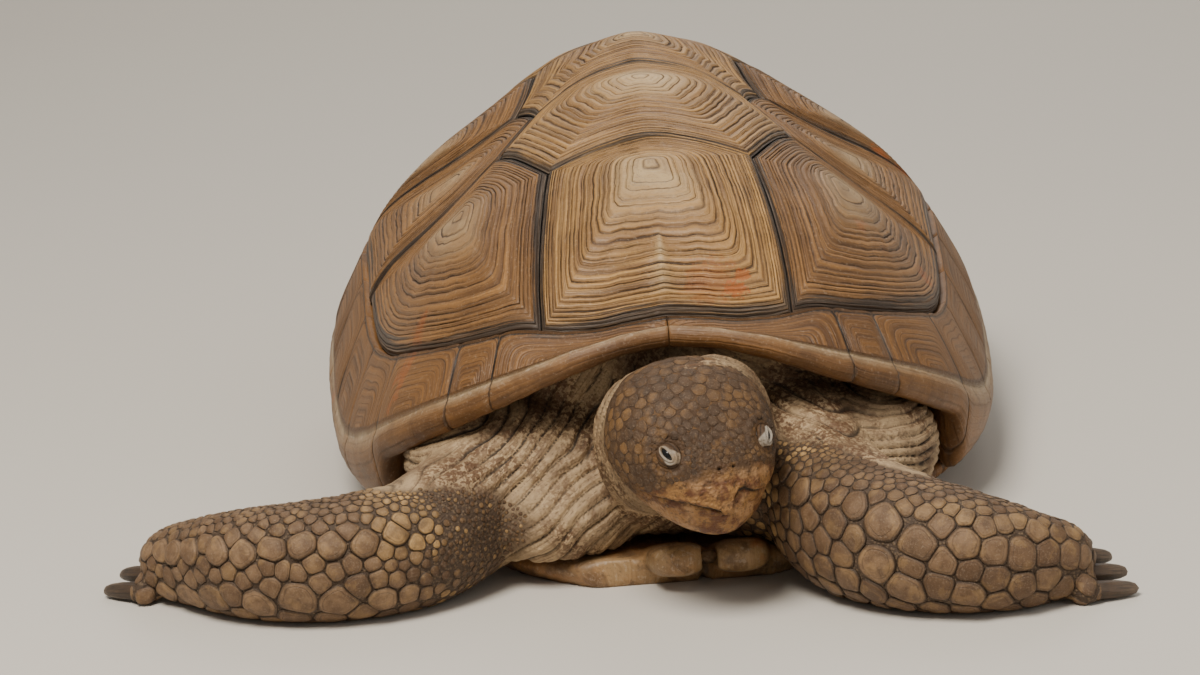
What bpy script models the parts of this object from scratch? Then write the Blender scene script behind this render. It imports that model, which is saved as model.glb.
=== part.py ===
"""Sulcata tortoise, resting: shell plates, plastron, head, limbs and tail as separate closed solids.

Metres. +Z is up, the head points to -Y, the animal's own left is +X, the floor is z = 0.
The carapace is one dome over a rim, addressed by a flat disc: phi runs from the front (0) to the tail
(180 degrees), rho from the crown (0) to the rim (1). Every plate is cut from that one dome, so neighbours
meet along shared seams.
"""

import bpy
import bmesh
import numpy as np
from mathutils import Matrix, Vector

# ---- driving dimensions ---------------------------------------------------------------------------------
HALF_LENGTH = 0.336  # rim, front to rear
HALF_WIDTH = 0.248  # rim, side to side
OUTLINE_POWER = 2.67  # 2 is an ellipse, more is squarer
FRONT_NARROW = 0.10
NUCHAL_NOTCH = 0.014  # dip in the middle of the front rim
CROWN_HEIGHT = 0.3085
CROWN_SHIFT = 0.057  # the crown sits behind the middle
DOME_FRONT, DOME_REAR, DOME_RISE = 1.378, 1.15, 1.243  # exponents of the dome's plan and rise
FLARE_FRONT, FLARE_SIDE, FLARE_REAR = 0.011, 0.006, 0.030
GUTTER = 0.0190  # depth of the hollow behind the front lip
WAIST = 0.0160  # how far the costals fall below a round dome beside the vertebrals
RING_FRONT, RING_SIDE = 0.850, 0.091  # rho where the marginals start, and how much lower at the sides
# height of the rim by the angle from the front
RIM_HEIGHTS = {
    0: 0.1960, 22: 0.1500, 42: 0.1010, 60: 0.053,
    95: 0.0896, 135: 0.115, 160: 0.100, 180: 0.085,
}

ANIMAL, CUTTERS = "sulcata_tortoise", "cutters"  # collections
SHADE_ANGLE = 35.0  # edges sharper than this stay sharp
# base colour, roughness and metallic value by the start of a node's name
FINISHES = {
    "vertebral": ((0.30, 0.19, 0.09), 0.55, 0.0), "costal": ((0.30, 0.19, 0.09), 0.55, 0.0),
    "marginal": ((0.33, 0.21, 0.10), 0.50, 0.0), "supracaudal": ((0.33, 0.21, 0.10), 0.50, 0.0),
    "plastron": ((0.36, 0.22, 0.10), 0.50, 0.0), "claw": ((0.06, 0.045, 0.035), 0.45, 0.0),
    "eye": ((0.012, 0.009, 0.007), 0.08, 0.0), "jaw": ((0.33, 0.20, 0.10), 0.55, 0.0),
    "": ((0.22, 0.17, 0.12), 0.75, 0.0),
}

GAP = 0.0003  # clearance between neighbouring solids
WELD = 2e-6  # points closer than this are one
SEAM = 0.0020  # how far a plate stops short of a seam, in disc units
END_GAP = 0.08  # how far a marginal stops short of its neighbour, in degrees
PLATE = 0.007  # thickness of the vertebral and costal plates
# height of the rolled lip by the angle from the front
LIP = {0: 0.0125, 12: 0.0155, 30: 0.024, 45: 0.026, 60: 0.020, 120: 0.020, 150: 0.018, 180: 0.024}
BRIDGE_HEIGHT = 0.025  # where the side marginals meet the plastron
BRIDGE_INSET = 0.020
UNDER_PLATES = 0.0145  # the body lies this far below the plates' outer face

PLASTRON_TOP = 0.020
# y, half width of the flat underside, half width at the edge, height of the edge
PLASTRON = [
    (-0.330, 0.060, 0.072, 0.014), (-0.305, 0.092, 0.108, 0.013), (-0.270, 0.122, 0.136, 0.013),
    (-0.215, 0.138, 0.158, 0.014), (-0.165, 0.150, 0.204, 0.022), (-0.080, 0.156, 0.2165, 0.023),
    (0.000, 0.156, 0.2165, 0.023), (0.075, 0.152, 0.212, 0.023), (0.130, 0.140, 0.190, 0.022),
    (0.175, 0.122, 0.136, 0.014), (0.225, 0.102, 0.114, 0.013), (0.268, 0.062, 0.076, 0.013),
]
GULAR_SHIFT = 0.016
# y, centre offset from the middle, half width, bottom, top: one horn, mirrored for the other
GULAR = [
    (-0.312, 0.0245, 0.0225, 0.003, 0.0240), (-0.336, 0.0225, 0.0205, 0.008, 0.0310),
    (-0.353, 0.0215, 0.0185, 0.012, 0.0350), (-0.361, 0.0205, 0.0120, 0.016, 0.0315),
]

# tapering tubes: x, y, z of the centre, half width across the path, half height
FORELEG_RIGHT = [
    (-0.075, -0.205, 0.092, 0.046, 0.048), (-0.112, -0.252, 0.070, 0.044, 0.046),
    (-0.150, -0.298, 0.052, 0.042, 0.045), (-0.180, -0.326, 0.0435, 0.041, 0.0445),
    (-0.215, -0.341, 0.0420, 0.040, 0.0430), (-0.258, -0.340, 0.0400, 0.038, 0.0412),
    (-0.300, -0.322, 0.0365, 0.034, 0.0375), (-0.333, -0.292, 0.0300, 0.029, 0.0312),
    (-0.352, -0.269, 0.0250, 0.029, 0.0255), (-0.361, -0.258, 0.0215, 0.022, 0.0190),
]
FORELEG_LEFT = [
    (0.072, -0.205, 0.095, 0.046, 0.048), (0.082, -0.265, 0.078, 0.046, 0.048),
    (0.094, -0.322, 0.060, 0.045, 0.047), (0.112, -0.368, 0.0480, 0.045, 0.0485),
    (0.140, -0.404, 0.0445, 0.044, 0.0455), (0.176, -0.424, 0.0405, 0.041, 0.0415),
    (0.208, -0.428, 0.0350, 0.036, 0.0360), (0.232, -0.421, 0.0290, 0.031, 0.0300),
    (0.247, -0.413, 0.0250, 0.028, 0.0255), (0.255, -0.408, 0.0215, 0.021, 0.0185),
]
HINDLEG = [
    (0.090, 0.140, 0.092, 0.048, 0.048), (0.124, 0.172, 0.072, 0.046, 0.045),
    (0.150, 0.198, 0.054, 0.044, 0.041), (0.164, 0.220, 0.037, 0.043, 0.037),
    (0.170, 0.230, 0.016, 0.045, 0.036), (0.172, 0.233, -0.001, 0.043, 0.034),
]
TAIL = [
    (0.000, 0.235, 0.062, 0.036, 0.030), (0.000, 0.268, 0.055, 0.031, 0.026),
    (0.004, 0.296, 0.045, 0.025, 0.021), (0.012, 0.319, 0.034, 0.018, 0.016),
    (0.022, 0.334, 0.025, 0.011, 0.010), (0.028, 0.341, 0.020, 0.006, 0.006),
]
NECK = [
    (0.000, -0.215, 0.100, 0.056, 0.043), (0.001, -0.255, 0.099, 0.057, 0.044),
    (0.003, -0.300, 0.099, 0.0585, 0.0450), (0.006, -0.338, 0.104, 0.0590, 0.0450),
    (0.009, -0.358, 0.111, 0.0575, 0.0500), (0.011, -0.370, 0.116, 0.051, 0.047),
]

HEAD_CENTRE = (0.0065, -0.376, 0.121)
HEAD_YAW, HEAD_PITCH = 22.0, 24.0  # to the animal's left, and down
# along the head, half width, half height above the axis, half height below, drop of the axis
HEAD = [
    (-0.042, 0.036, 0.031, 0.028, 0.000), (-0.028, 0.0475, 0.0405, 0.034, 0.000),
    (-0.007, 0.0545, 0.0455, 0.0375, 0.000), (0.013, 0.0550, 0.0445, 0.0380, 0.001),
    (0.031, 0.0505, 0.0385, 0.0370, 0.003), (0.047, 0.0420, 0.0305, 0.0345, 0.005),
    (0.060, 0.0305, 0.0215, 0.0290, 0.008), (0.068, 0.0185, 0.0135, 0.0220, 0.011),
    (0.072, 0.0085, 0.0060, 0.0140, 0.013),
]
MOUTH_DROP = 0.0185  # the jaw starts this far below the head's axis
EYE_RADIUS = 0.0105
EYE_AT = (0.0375, 0.0340, 0.0160)  # along, out, up

CLAW_SIDES = 7
CLAW_RADIUS, CLAW_LENGTH, CLAW_SPACING = 0.0075, 0.034, 0.0158
CLAW_FLATTEN = 0.85  # a claw's height for its width
CLAW_COUNT, CLAW_TILT, CLAW_SPREAD, CLAW_HEIGHT = 5, 28.0, 9.0, 0.0225  # the forefeet are rolled outward
HIND_CLAW_RADIUS, HIND_CLAW_LENGTH = 0.0100, 0.028
TUBE_SIDES = 14


# ---- the carapace as one surface ------------------------------------------------------------------------
def smooth(low, high, x):
    t = np.clip((x - low) / (high - low), 0, 1)
    return t * t * (3 - 2 * t)


def blended(table, degrees):
    """Values of an angle table at |degrees|, averaged over a short arc so that no kink shows."""
    knots, values = np.array(sorted(table)), np.array([table[k] for k in sorted(table)])
    total = 0
    for shift in (-12, -6, 0, 6, 12):
        at = np.abs(degrees + shift)
        total = total + np.interp(np.where(at > 180, 360 - at, at), knots, values)
    return total / 5


def degrees_of(phi):
    return np.degrees(np.abs((phi + np.pi) % (2 * np.pi) - np.pi))


def rim(phi):
    s, c = np.sin(phi), np.cos(phi)
    across, along = (np.abs(s) / HALF_WIDTH) ** OUTLINE_POWER, (np.abs(c) / HALF_LENGTH) ** OUTLINE_POWER
    r = (across + along) ** (-1 / OUTLINE_POWER)
    x, y = r * s, -r * c
    x = x * (1 + FRONT_NARROW * 0.5 * (y / HALF_LENGTH - smooth(0.0, 1.0, y / HALF_LENGTH)))
    y = y + NUCHAL_NOTCH * np.exp(-((x / 0.04) ** 2)) * (c > 0)
    return np.stack([x, y, blended(RIM_HEIGHTS, degrees_of(phi))], -1)


def ring(phi):
    return RING_FRONT - RING_SIDE * np.sin(phi) ** 2


def carapace(rho, phi):
    """The outer face at a place of the disc."""
    rho, phi = np.asarray(rho, float), np.asarray(phi, float)
    edge, c = rim(phi), np.cos(phi)
    flare = FLARE_SIDE + (FLARE_FRONT - FLARE_SIDE) * smooth(0.2, 0.9, c)
    flare = flare + (FLARE_REAR - FLARE_SIDE) * smooth(0.2, 0.9, -c)
    plan = DOME_FRONT + (DOME_REAR - DOME_FRONT) * smooth(-0.2, 0.9, -c)
    reach = 1 - 0.10 * smooth(0.008, 0.03, flare)
    h = np.sin(np.clip(rho, 0, 1) * np.pi / 2) ** plan
    v = np.maximum(np.cos(np.clip(rho / reach, 0, 1) * np.pi / 2), 0) ** DOME_RISE
    f = flare / np.hypot(edge[..., 0], edge[..., 1])
    scale = (1 - f) * h + f * smooth(0.78, 1.0, rho) * rho
    x, y = edge[..., 0] * scale, edge[..., 1] * scale + CROWN_SHIFT * (1 - h)
    z = edge[..., 2] + (CROWN_HEIGHT - edge[..., 2]) * v
    gutter = GUTTER * smooth(0.62, 0.855, rho) * (1 - smooth(0.87, 1.0, rho)) * smooth(0.93, 1.0, c)
    waist = WAIST * np.sin(phi) ** 4 * np.clip(1 - ((rho - 0.45) / 0.27) ** 2, 0, 1) ** 2
    return np.stack([x, y, z - gutter - waist], -1)


def on_disc(p):
    p = np.asarray(p, float)
    return carapace(np.hypot(p[..., 0], p[..., 1]), np.arctan2(p[..., 0], -p[..., 1]))


def disc_normal(p, step=0.012):
    p = np.asarray(p, float)
    du = on_disc(p + [step, 0]) - on_disc(p - [step, 0])
    dv = on_disc(p + [0, step]) - on_disc(p - [0, step])
    n = np.cross(du, dv)
    n = n / np.linalg.norm(n, axis=-1, keepdims=True)
    return n * np.where(n[..., 2:3] < 0, -1, 1)


# ---- the seams, in disc units ---------------------------------------------------------------------------
def polar(degrees, rho=None):
    a = np.radians(degrees)
    r = ring(a) if rho is None else rho
    return (r * np.sin(a), -r * np.cos(a))


# the corner between vertebrals n and n + 1
V_CORNER = [None, (0.193, -0.433), (0.264, -0.179), (0.250, 0.110), (0.170, 0.420)]
# the lateral corner of vertebral n
V_SIDE = [None, None, (0.337, -0.224), (0.335, -0.020), (0.300, 0.270)]
V1_RING, C12_RING, C23_RING, C34_RING, V5_RING = 16.7, 79.0, 110.0, 138.0, 163.0  # degrees on the ring
RING_STOPS = [
    0, 8, 16.7, 22.4, 28.9, 37, 42, 45, 52.5, 60, 67.5, 75, 79, 84.5, 90, 97.5, 105, 110,
    115.5, 121, 129.5, 138, 146, 154, 163, 168, 174, 180,
]
MARGINAL_SEAMS = [0, 22.4, 28.9, 45, 60, 75, 90, 105, 121, 138, 154, 168]


def along_ring(start, end):
    stops = [s for s in RING_STOPS if min(start, end) < s < max(start, end)]
    stops = sorted(stops, reverse=start > end)
    return [polar(s) for s in [start] + stops + [end]]


def mirrored(points):
    return [(-x, y) for x, y in reversed(points)]


def vertebral_outline(n):
    if n == 1:
        right = along_ring(0, V1_RING) + [V_CORNER[1]]
    elif n == 5:
        right = [V_CORNER[4]] + along_ring(V5_RING, 180)
    else:
        right = [V_CORNER[n - 1], V_SIDE[n], V_CORNER[n]]
    whole = right + mirrored(right)
    return [p for i, p in enumerate(whole) if np.hypot(p[0] - whole[i - 1][0], p[1] - whole[i - 1][1]) > 1e-6]


def costal_outline(n):
    if n == 1:
        return along_ring(V1_RING, C12_RING) + [V_SIDE[2], V_CORNER[1]]
    if n == 2:
        return along_ring(C12_RING, C23_RING) + [V_SIDE[3], V_CORNER[2], V_SIDE[2]]
    if n == 3:
        return along_ring(C23_RING, C34_RING) + [V_SIDE[4], V_CORNER[3], V_SIDE[3]]
    return along_ring(C34_RING, V5_RING) + [V_CORNER[4], V_SIDE[4]]


AREOLA_V = [None, (0.0, -0.520), (0.0, -0.262), (0.0, -0.020), (0.0, 0.265), (0.0, 0.560)]
AREOLA_C = [None, (0.385, -0.375), (0.490, -0.075), (0.480, 0.190), (0.340, 0.440)]


def refine(outline, longest=0.17):
    """Splits long edges the same way from either side, so that shared seams stay shared."""
    points = []
    for a, b in zip(outline, outline[1:] + outline[:1]):
        a, b = np.array(a), np.array(b)
        count = max(1, int(np.ceil(np.linalg.norm(b - a) / longest - 1e-6)))
        points += [a + (b - a) * i / count for i in range(count)]
    return np.array(points)


# ---- meshes ---------------------------------------------------------------------------------------------
def collection(name):
    """The scene's collection of that name, made when first asked for."""
    if name not in bpy.data.collections:
        bpy.context.scene.collection.children.link(bpy.data.collections.new(name))
    return bpy.data.collections[name]


def as_cutter(obj):
    """Moves an object to the cutters, which are no part of the animal."""
    for home in list(obj.users_collection):
        home.objects.unlink(obj)
    collection(CUTTERS).objects.link(obj)
    obj.hide_render = True
    obj.display_type = "WIRE"
    return obj


def add_object(name, vertices, faces):
    mesh = bpy.data.meshes.new(name)
    mesh.from_pydata([tuple(map(float, v)) for v in vertices], [], faces)
    obj = bpy.data.objects.new(name, mesh)
    collection(ANIMAL).objects.link(obj)
    bm = bmesh.new()
    bm.from_mesh(mesh)
    bmesh.ops.recalc_face_normals(bm, faces=bm.faces)
    bm.to_mesh(mesh)
    bm.free()
    return obj


def skinned_rings(rings, closed_ends=True):
    """Vertices and faces of rings of equal count joined in a row, with flat or pointed ends."""
    count = len(rings[0])
    vertices = [p for r in rings for p in r]
    faces = []
    for i in range(len(rings) - 1):
        for j in range(count):
            k = (j + 1) % count
            faces.append((i * count + j, i * count + k, (i + 1) * count + k, (i + 1) * count + j))
    if closed_ends:
        for base, ring_points in ((0, rings[0]), ((len(rings) - 1) * count, rings[-1])):
            centre = len(vertices)
            vertices.append(np.mean(ring_points, axis=0))
            faces += [(base + j, base + (j + 1) % count, centre) for j in range(count)]
    return vertices, faces


def plate(name, outline, areola):
    """A shell plate: rings from the areola out to the seam, over the same rings one thickness below."""
    edge, core = refine(outline), np.array(areola)
    reach = np.linalg.norm(edge - core, axis=1, keepdims=True)
    edge = core + (edge - core) * (1 - SEAM / reach)
    rings = []
    for share, sink in ((0.45, 0.0), (0.94, 0.0), (1.0, 0.0016), (1.0, PLATE), (0.50, PLATE)):
        p = core + (edge - core) * share
        lift = 0.0022 * max(0.0, 1 - share / 0.66) if sink < PLATE else 0.0
        rings.append(on_disc(p) + disc_normal(p) * (lift - sink))
    vertices, faces = skinned_rings(rings)
    vertices[-2] = on_disc(core) + disc_normal(core) * 0.0026
    vertices[-1] = on_disc(core) - disc_normal(core) * PLATE
    return add_object(name, vertices, faces)


def bridge_share(degrees):
    return smooth(42, 47, degrees) * (1 - smooth(114, 127, degrees))


def marginal_section(degrees):
    """The closed outline of the shell's edge at one angle: outer face, rounded lip, underside, inner face."""
    a = np.radians(degrees)
    size = abs(degrees)
    start = float(ring(a)) + SEAM
    out = rim(a)
    outward = np.array([np.sin(a), -np.cos(a), 0.0]) * [1 / HALF_WIDTH, 1 / HALF_LENGTH, 0]
    outward = outward / np.linalg.norm(outward)
    down = np.array([0, 0, -1.0])
    lip, w = float(blended(LIP, np.array(size))), float(bridge_share(size))

    def face(share, sink=0.0):
        p = np.array(polar(degrees, start + (1 - start) * share))
        return on_disc(p) - disc_normal(p) * sink

    outer = [face(0.0), face(0.3), face(0.62), face(0.86), out]
    lipped = [
        out + outward * 0.0045 + down * lip * 0.25, out + outward * 0.0050 + down * lip * 0.62,
        out + outward * 0.0010 + down * lip * 0.95, out - outward * 0.010 + down * lip * 0.98,
        face(0.40, 0.0120), face(0.0, 0.0085),
    ]
    low = out - outward * BRIDGE_INSET
    low[2] = BRIDGE_HEIGHT
    inner_low = low - outward * 0.006 + np.array([0, 0, 0.006])
    fall = out[2] - BRIDGE_HEIGHT
    bridged = [
        out + outward * 0.0030 + down * 0.007, out + outward * 0.0015 + down * fall * 0.52,
        out - outward * 0.0070 + down * fall * 0.87, low,
        inner_low, face(0.0, 0.0085),
    ]
    return np.array(outer + [p * (1 - w) + q * w for p, q in zip(lipped, bridged)])


# the same triangles close the ends of neighbouring plates, so they cannot cross
SECTION_FACES = [
    (0, 1, 10), (1, 9, 10), (1, 2, 9), (2, 8, 9), (2, 3, 8), (3, 7, 8), (3, 4, 7), (4, 6, 7), (4, 5, 6),
]


def marginal(name, start, end):
    """One plate of the shell's edge between two angles, given on the +X side or across the tail."""
    low, high = min(start, end), max(start, end)
    across_tail = RING_STOPS + [360 - s for s in RING_STOPS[:-1]]
    stops = [low + END_GAP] + [s for s in across_tail if low < s < high] + [high - END_GAP]
    if len(stops) < 3:
        stops.insert(1, (low + high) / 2)
    rings = []
    for s in stops:
        if s > 180:
            r = marginal_section(360 - s)
            r = r * [-1, 1, 1]
        else:
            r = marginal_section(s)
        rings.append(r)
    vertices, faces = skinned_rings(rings, closed_ends=False)
    for base in (0, (len(rings) - 1) * len(rings[0])):
        faces += [tuple(base + i for i in corner) for corner in SECTION_FACES]
    return add_object(name, vertices, faces)


def mirror_copy(obj, name):
    mesh = obj.data.copy()
    mesh.transform(Matrix.Diagonal((-1, 1, 1, 1)))
    mesh.flip_normals()
    mesh.name = name
    copy = bpy.data.objects.new(name, mesh)
    collection(ANIMAL).objects.link(copy)
    return copy


def blank_of(obj):
    """An uncut copy of a solid, which cuts what it reaches into."""
    copy = obj.copy()
    copy.data = obj.data.copy()
    return as_cutter(copy)


def tube(name, stations, sides=TUBE_SIDES, floor=0.0, exponent=2.3, caps=True):
    """A limb: rounded sections along a path, flat where it lies on the floor."""
    path = np.array([s[:3] for s in stations], float)
    rings = []
    for i, (x, y, z, across, tall) in enumerate(stations):
        ahead = path[min(i + 1, len(path) - 1)] - path[max(i - 1, 0)]
        ahead = ahead / np.linalg.norm(ahead)
        side = np.cross(ahead, [0, 0, 1.0])
        side = side / np.linalg.norm(side)
        up = np.cross(side, ahead)
        t = np.linspace(0, 2 * np.pi, sides, endpoint=False)
        c, s = np.cos(t), np.sin(t)
        c, s = np.sign(c) * np.abs(c) ** (2 / exponent), np.sign(s) * np.abs(s) ** (2 / exponent)
        points = path[i] + np.outer(c, side) * across + np.outer(s, up) * tall
        rings.append(points)
    if caps:
        for end, into in ((0, 1), (-1, -2)):
            centre = rings[end].mean(axis=0)
            axis = path[end] - path[into]
            axis = axis / np.linalg.norm(axis)
            size = min(stations[end][3], stations[end][4])
            cap = centre + (rings[end] - centre) * 0.6 + axis * size * 0.45
            rings = [cap] + rings if end == 0 else rings + [cap]
    vertices, faces = skinned_rings(rings)
    vertices = np.array(vertices)
    if floor is not None:
        vertices[:, 2] = np.maximum(vertices[:, 2], floor)
    return add_object(name, vertices, faces)


def head_matrix():
    turned = Matrix.Rotation(np.radians(HEAD_YAW), 4, "Z") @ Matrix.Rotation(np.radians(HEAD_PITCH), 4, "X")
    return Matrix.Translation(HEAD_CENTRE) @ turned


def head_point(along, out, up):
    """A place given along the head, out to its left and up from its axis."""
    return np.array(head_matrix() @ Vector((out, -along, up)))


def head_solid(name, sides=16):
    rings = []
    for along, wide, above, below, drop in HEAD:
        r = []
        for t in np.linspace(0, 2 * np.pi, sides, endpoint=False):
            c, s = np.cos(t), np.sin(t)
            c, s = np.sign(c) * abs(c) ** (2 / 2.4), np.sign(s) * abs(s) ** (2 / 2.4)
            r.append(head_point(along, wide * c, (above if s > 0 else below) * s - drop))
        rings.append(np.array(r))
    vertices, faces = skinned_rings(rings)
    return add_object(name, vertices, faces)


def box_in_head(name, low, high):
    corners = [(x, y, z) for x in (low[0], high[0]) for y in (low[1], high[1]) for z in (low[2], high[2])]
    vertices = [head_point(*c) for c in corners]
    faces = [(0, 1, 3, 2), (4, 6, 7, 5), (0, 4, 5, 1), (2, 3, 7, 6), (0, 2, 6, 4), (1, 5, 7, 3)]
    return add_object(name, vertices, faces)


def ball(name, centre, radius, segments=10, rings=6):
    bpy.ops.mesh.primitive_uv_sphere_add(
        segments=segments, ring_count=rings, radius=radius, location=tuple(centre))
    obj = bpy.context.object
    obj.name = obj.data.name = name
    bpy.ops.object.transform_apply(location=True, rotation=True, scale=True)
    for home in list(obj.users_collection):
        home.objects.unlink(obj)
    collection(ANIMAL).objects.link(obj)
    return obj


def claw(name, root, tip, radius):
    """A blunt claw from its root inside the toe to its tip."""
    root, tip = np.array(root, float), np.array(tip, float)
    stations = []
    for share, wide in ((0.0, 1.0), (0.45, 0.95), (0.8, 0.66), (0.96, 0.32)):
        stations.append((*(root + (tip - root) * share), radius * wide, radius * wide * CLAW_FLATTEN))
    return tube(name, stations, sides=CLAW_SIDES, floor=0.0, exponent=2.0, caps=False)


def boolean(target, cutter, operation, grow=0.0):
    """Cuts or joins with a copy of the cutter grown by the clearance."""
    tool = blank_of(cutter)
    if grow:
        swell = tool.modifiers.new("grow", "DISPLACE")
        swell.strength = grow
        swell.mid_level = 0.0
        swell.direction = "NORMAL"
    bpy.context.view_layer.update()
    apply_all(tool)
    step = target.modifiers.new("cut", "BOOLEAN")
    step.operation, step.solver, step.object = operation, "EXACT", tool
    apply_all(target)
    bpy.data.objects.remove(tool)


def apply_all(obj):
    for other in bpy.context.selected_objects:
        other.select_set(False)
    bpy.context.view_layer.objects.active = obj
    obj.select_set(True)
    for modifier in list(obj.modifiers):
        bpy.ops.object.modifier_apply(modifier=modifier.name)


def tidy(obj):
    """Drops slivers that a cut left loose and welds coincident points."""
    bm = bmesh.new()
    bm.from_mesh(obj.data)
    bmesh.ops.remove_doubles(bm, verts=bm.verts, dist=WELD)
    bmesh.ops.dissolve_degenerate(bm, edges=bm.edges, dist=WELD)
    todo, islands = set(bm.verts), []
    while todo:
        stack, island = [next(iter(todo))], set()
        while stack:
            v = stack.pop()
            if v in island:
                continue
            island.add(v)
            stack += [e.other_vert(v) for e in v.link_edges]
        todo -= island
        islands.append(island)
    islands.sort(key=len)
    for island in islands[:-1]:
        bmesh.ops.delete(bm, geom=list(island), context="VERTS")
    bmesh.ops.recalc_face_normals(bm, faces=bm.faces)
    bm.to_mesh(obj.data)
    bm.free()


def trunk_solid():
    """The body under the plates, with the front and rear openings closed by skin a little inside the rim."""
    rows = []
    stops = np.arange(0, 360, 15.0)
    for degrees in stops:
        a = np.radians(degrees)
        size = float(degrees_of(np.array(a)))
        start = float(ring(a))
        w = float(bridge_share(size))
        row = []
        for rho in (0.22, 0.45, 0.64, start - 0.045):
            p = np.array(polar(degrees, rho))
            row.append(on_disc(p) - disc_normal(p) * UNDER_PLATES)
        top = row[-1]
        foot = rim(np.array(a)) * [1, 1, 0]
        length = np.linalg.norm(foot)
        inset = 0.052 * w + (0.038 if size < 90 else 0.062) * (1 - w)
        foot = foot * (1 - inset / length)
        belly = foot + np.array([0, 0, 0.055])
        foot = foot * 0.97 + np.array([0, 0, 0.026])
        row += [top * [0.97, 0.97, 1] - [0, 0, 0.022], belly, foot]
        rows.append(row)
    rows = np.array(rows)
    rings = [rows[:, i] for i in range(rows.shape[1])]
    vertices, faces = skinned_rings(rings)
    vertices[-2] = on_disc((0, 0)) - np.array([0, 0, UNDER_PLATES])
    return add_object("trunk", vertices, faces)


def plastron_plate(name, grow=0.0):
    """The plastron without its horns; grown by the clearance it is the cutter for what rests on it."""
    rings = []
    for i, (y, flat, edge, edge_height) in enumerate(PLASTRON):
        y += grow * ((i == len(PLASTRON) - 1) - (i == 0))
        right = [
            (flat * 0.5, -grow), (flat, -grow), (edge - 0.002 + grow, edge_height * 0.62 - grow),
            (edge + grow, edge_height), (edge - 0.006 + grow, edge_height + 0.003 + grow),
            (flat * 0.92, PLASTRON_TOP + grow), (flat * 0.4, PLASTRON_TOP - 0.001 + grow),
        ]
        rings.append(np.array([(x, y, z) for x, z in right] + [(-x, y, z) for x, z in reversed(right)]))
    vertices, faces = skinned_rings(rings)
    triangles = [f for f in faces if len(f) == 3]
    for a, b, c, d in [f for f in faces if len(f) == 4]:
        triangles += [(a, b, c), (a, c, d)]
    return add_object(name, vertices, triangles)


def plastron_solid():
    body = plastron_plate("plastron")
    for side in (-1, 1):
        rings = []
        for y, offset, half, low, high in GULAR:
            centre = GULAR_SHIFT + side * offset
            t = np.linspace(0, 2 * np.pi, 12, endpoint=False)
            across, up = np.cos(t), np.sin(t)
            across, up = np.sign(across) * abs(across) ** 0.7, np.sign(up) * abs(up) ** 0.7
            x, z = centre + half * across, (low + high) / 2 + (high - low) / 2 * up
            rings.append(np.stack([x, np.full_like(x, y), z], -1))
        vertices, faces = skinned_rings(rings)
        horn = add_object("horn", vertices, faces)
        boolean(body, horn, "UNION")
        bpy.data.objects.remove(horn)
    return body


def claw_row(end, ahead, tilt):
    """Roots and tips of a row of claws along the end of a foot, tilted so that one side is higher."""
    ahead = np.array([ahead[0], ahead[1], 0.0])
    ahead = ahead / np.linalg.norm(ahead)
    across = np.array([-ahead[1], ahead[0], 0.0])
    row = across * np.cos(np.radians(tilt)) + np.array([0, 0, np.sin(np.radians(tilt))])
    pairs = []
    for i in range(CLAW_COUNT):
        k = i - (CLAW_COUNT - 1) / 2
        root = np.array(end) + row * k * CLAW_SPACING - ahead * 0.0016 * k * k
        root[2] = max(CLAW_HEIGHT + row[2] * k * CLAW_SPACING, CLAW_RADIUS * 0.8)
        turn = np.radians(CLAW_SPREAD) * k
        tip = root + (ahead * np.cos(turn) + across * np.sin(turn)) * CLAW_LENGTH
        tip[2] = root[2] * 0.72
        pairs.append((root, tip))
    return pairs


def hind_claws():
    """Four stout claws around the outer front of the hind foot."""
    foot = np.array(HINDLEG[-2][:3])
    pairs = []
    for degrees in (-78, -48, -18, 12):
        away = np.array([np.cos(np.radians(degrees)), np.sin(np.radians(degrees)), 0.0])
        root = foot * [1, 1, 0] + away * 0.034 + [0, 0, 0.0110]
        pairs.append((root, root + away * HIND_CLAW_LENGTH - [0, 0, 0.0035]))
    return pairs


def finish(obj):
    """Gives a solid its own material and smooth shading between its sharp edges."""
    colour, roughness, metallic = next(FINISHES[k] for k in FINISHES if obj.name.startswith(k))
    material = bpy.data.materials.new(obj.name)
    material.use_nodes = True
    shader = material.node_tree.nodes["Principled BSDF"]
    shader.inputs["Base Color"].default_value = (*colour, 1.0)
    shader.inputs["Roughness"].default_value = roughness
    shader.inputs["Metallic"].default_value = metallic
    obj.data.materials.clear()
    obj.data.materials.append(material)
    obj.data.shade_smooth()
    obj.data.set_sharp_from_angle(angle=np.radians(SHADE_ANGLE))


def make_shell():
    """The vertebral, costal and marginal plates."""
    for n in range(1, 6):
        plate(f"vertebral_{n}", vertebral_outline(n), AREOLA_V[n])
    for n in range(1, 5):
        left = plate(f"costal_left_{n}", costal_outline(n), AREOLA_C[n])
        mirror_copy(left, f"costal_right_{n}")
    for n in range(1, 12):
        left = marginal(f"marginal_left_{n}", MARGINAL_SEAMS[n - 1], MARGINAL_SEAMS[n])
        mirror_copy(left, f"marginal_right_{n}")
    marginal("supracaudal", MARGINAL_SEAMS[-1], 360 - MARGINAL_SEAMS[-1])


def make_head():
    """The head with its eyes let in, and the lower jaw parted from it at the mouth."""
    head, jaw = head_solid("head"), head_solid("jaw")
    behind, reach = -0.020, 0.12
    below = as_cutter(box_in_head("below", (behind, -0.09, -0.09), (reach, 0.09, -MOUTH_DROP)))
    above = as_cutter(box_in_head("above", (behind - GAP, -0.09, -0.09), (reach, 0.09, -MOUTH_DROP + GAP)))
    boolean(jaw, below, "INTERSECT")
    boolean(head, above, "DIFFERENCE")
    for cutter in (below, above):
        bpy.data.objects.remove(cutter)
    along, out, up = EYE_AT
    for name, side in (("eye_left", 1), ("eye_right", -1)):
        eye = ball(name, head_point(along, out * side, up), EYE_RADIUS)
        boolean(head, eye, "DIFFERENCE", GAP)
    tidy(head)
    tidy(jaw)


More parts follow.
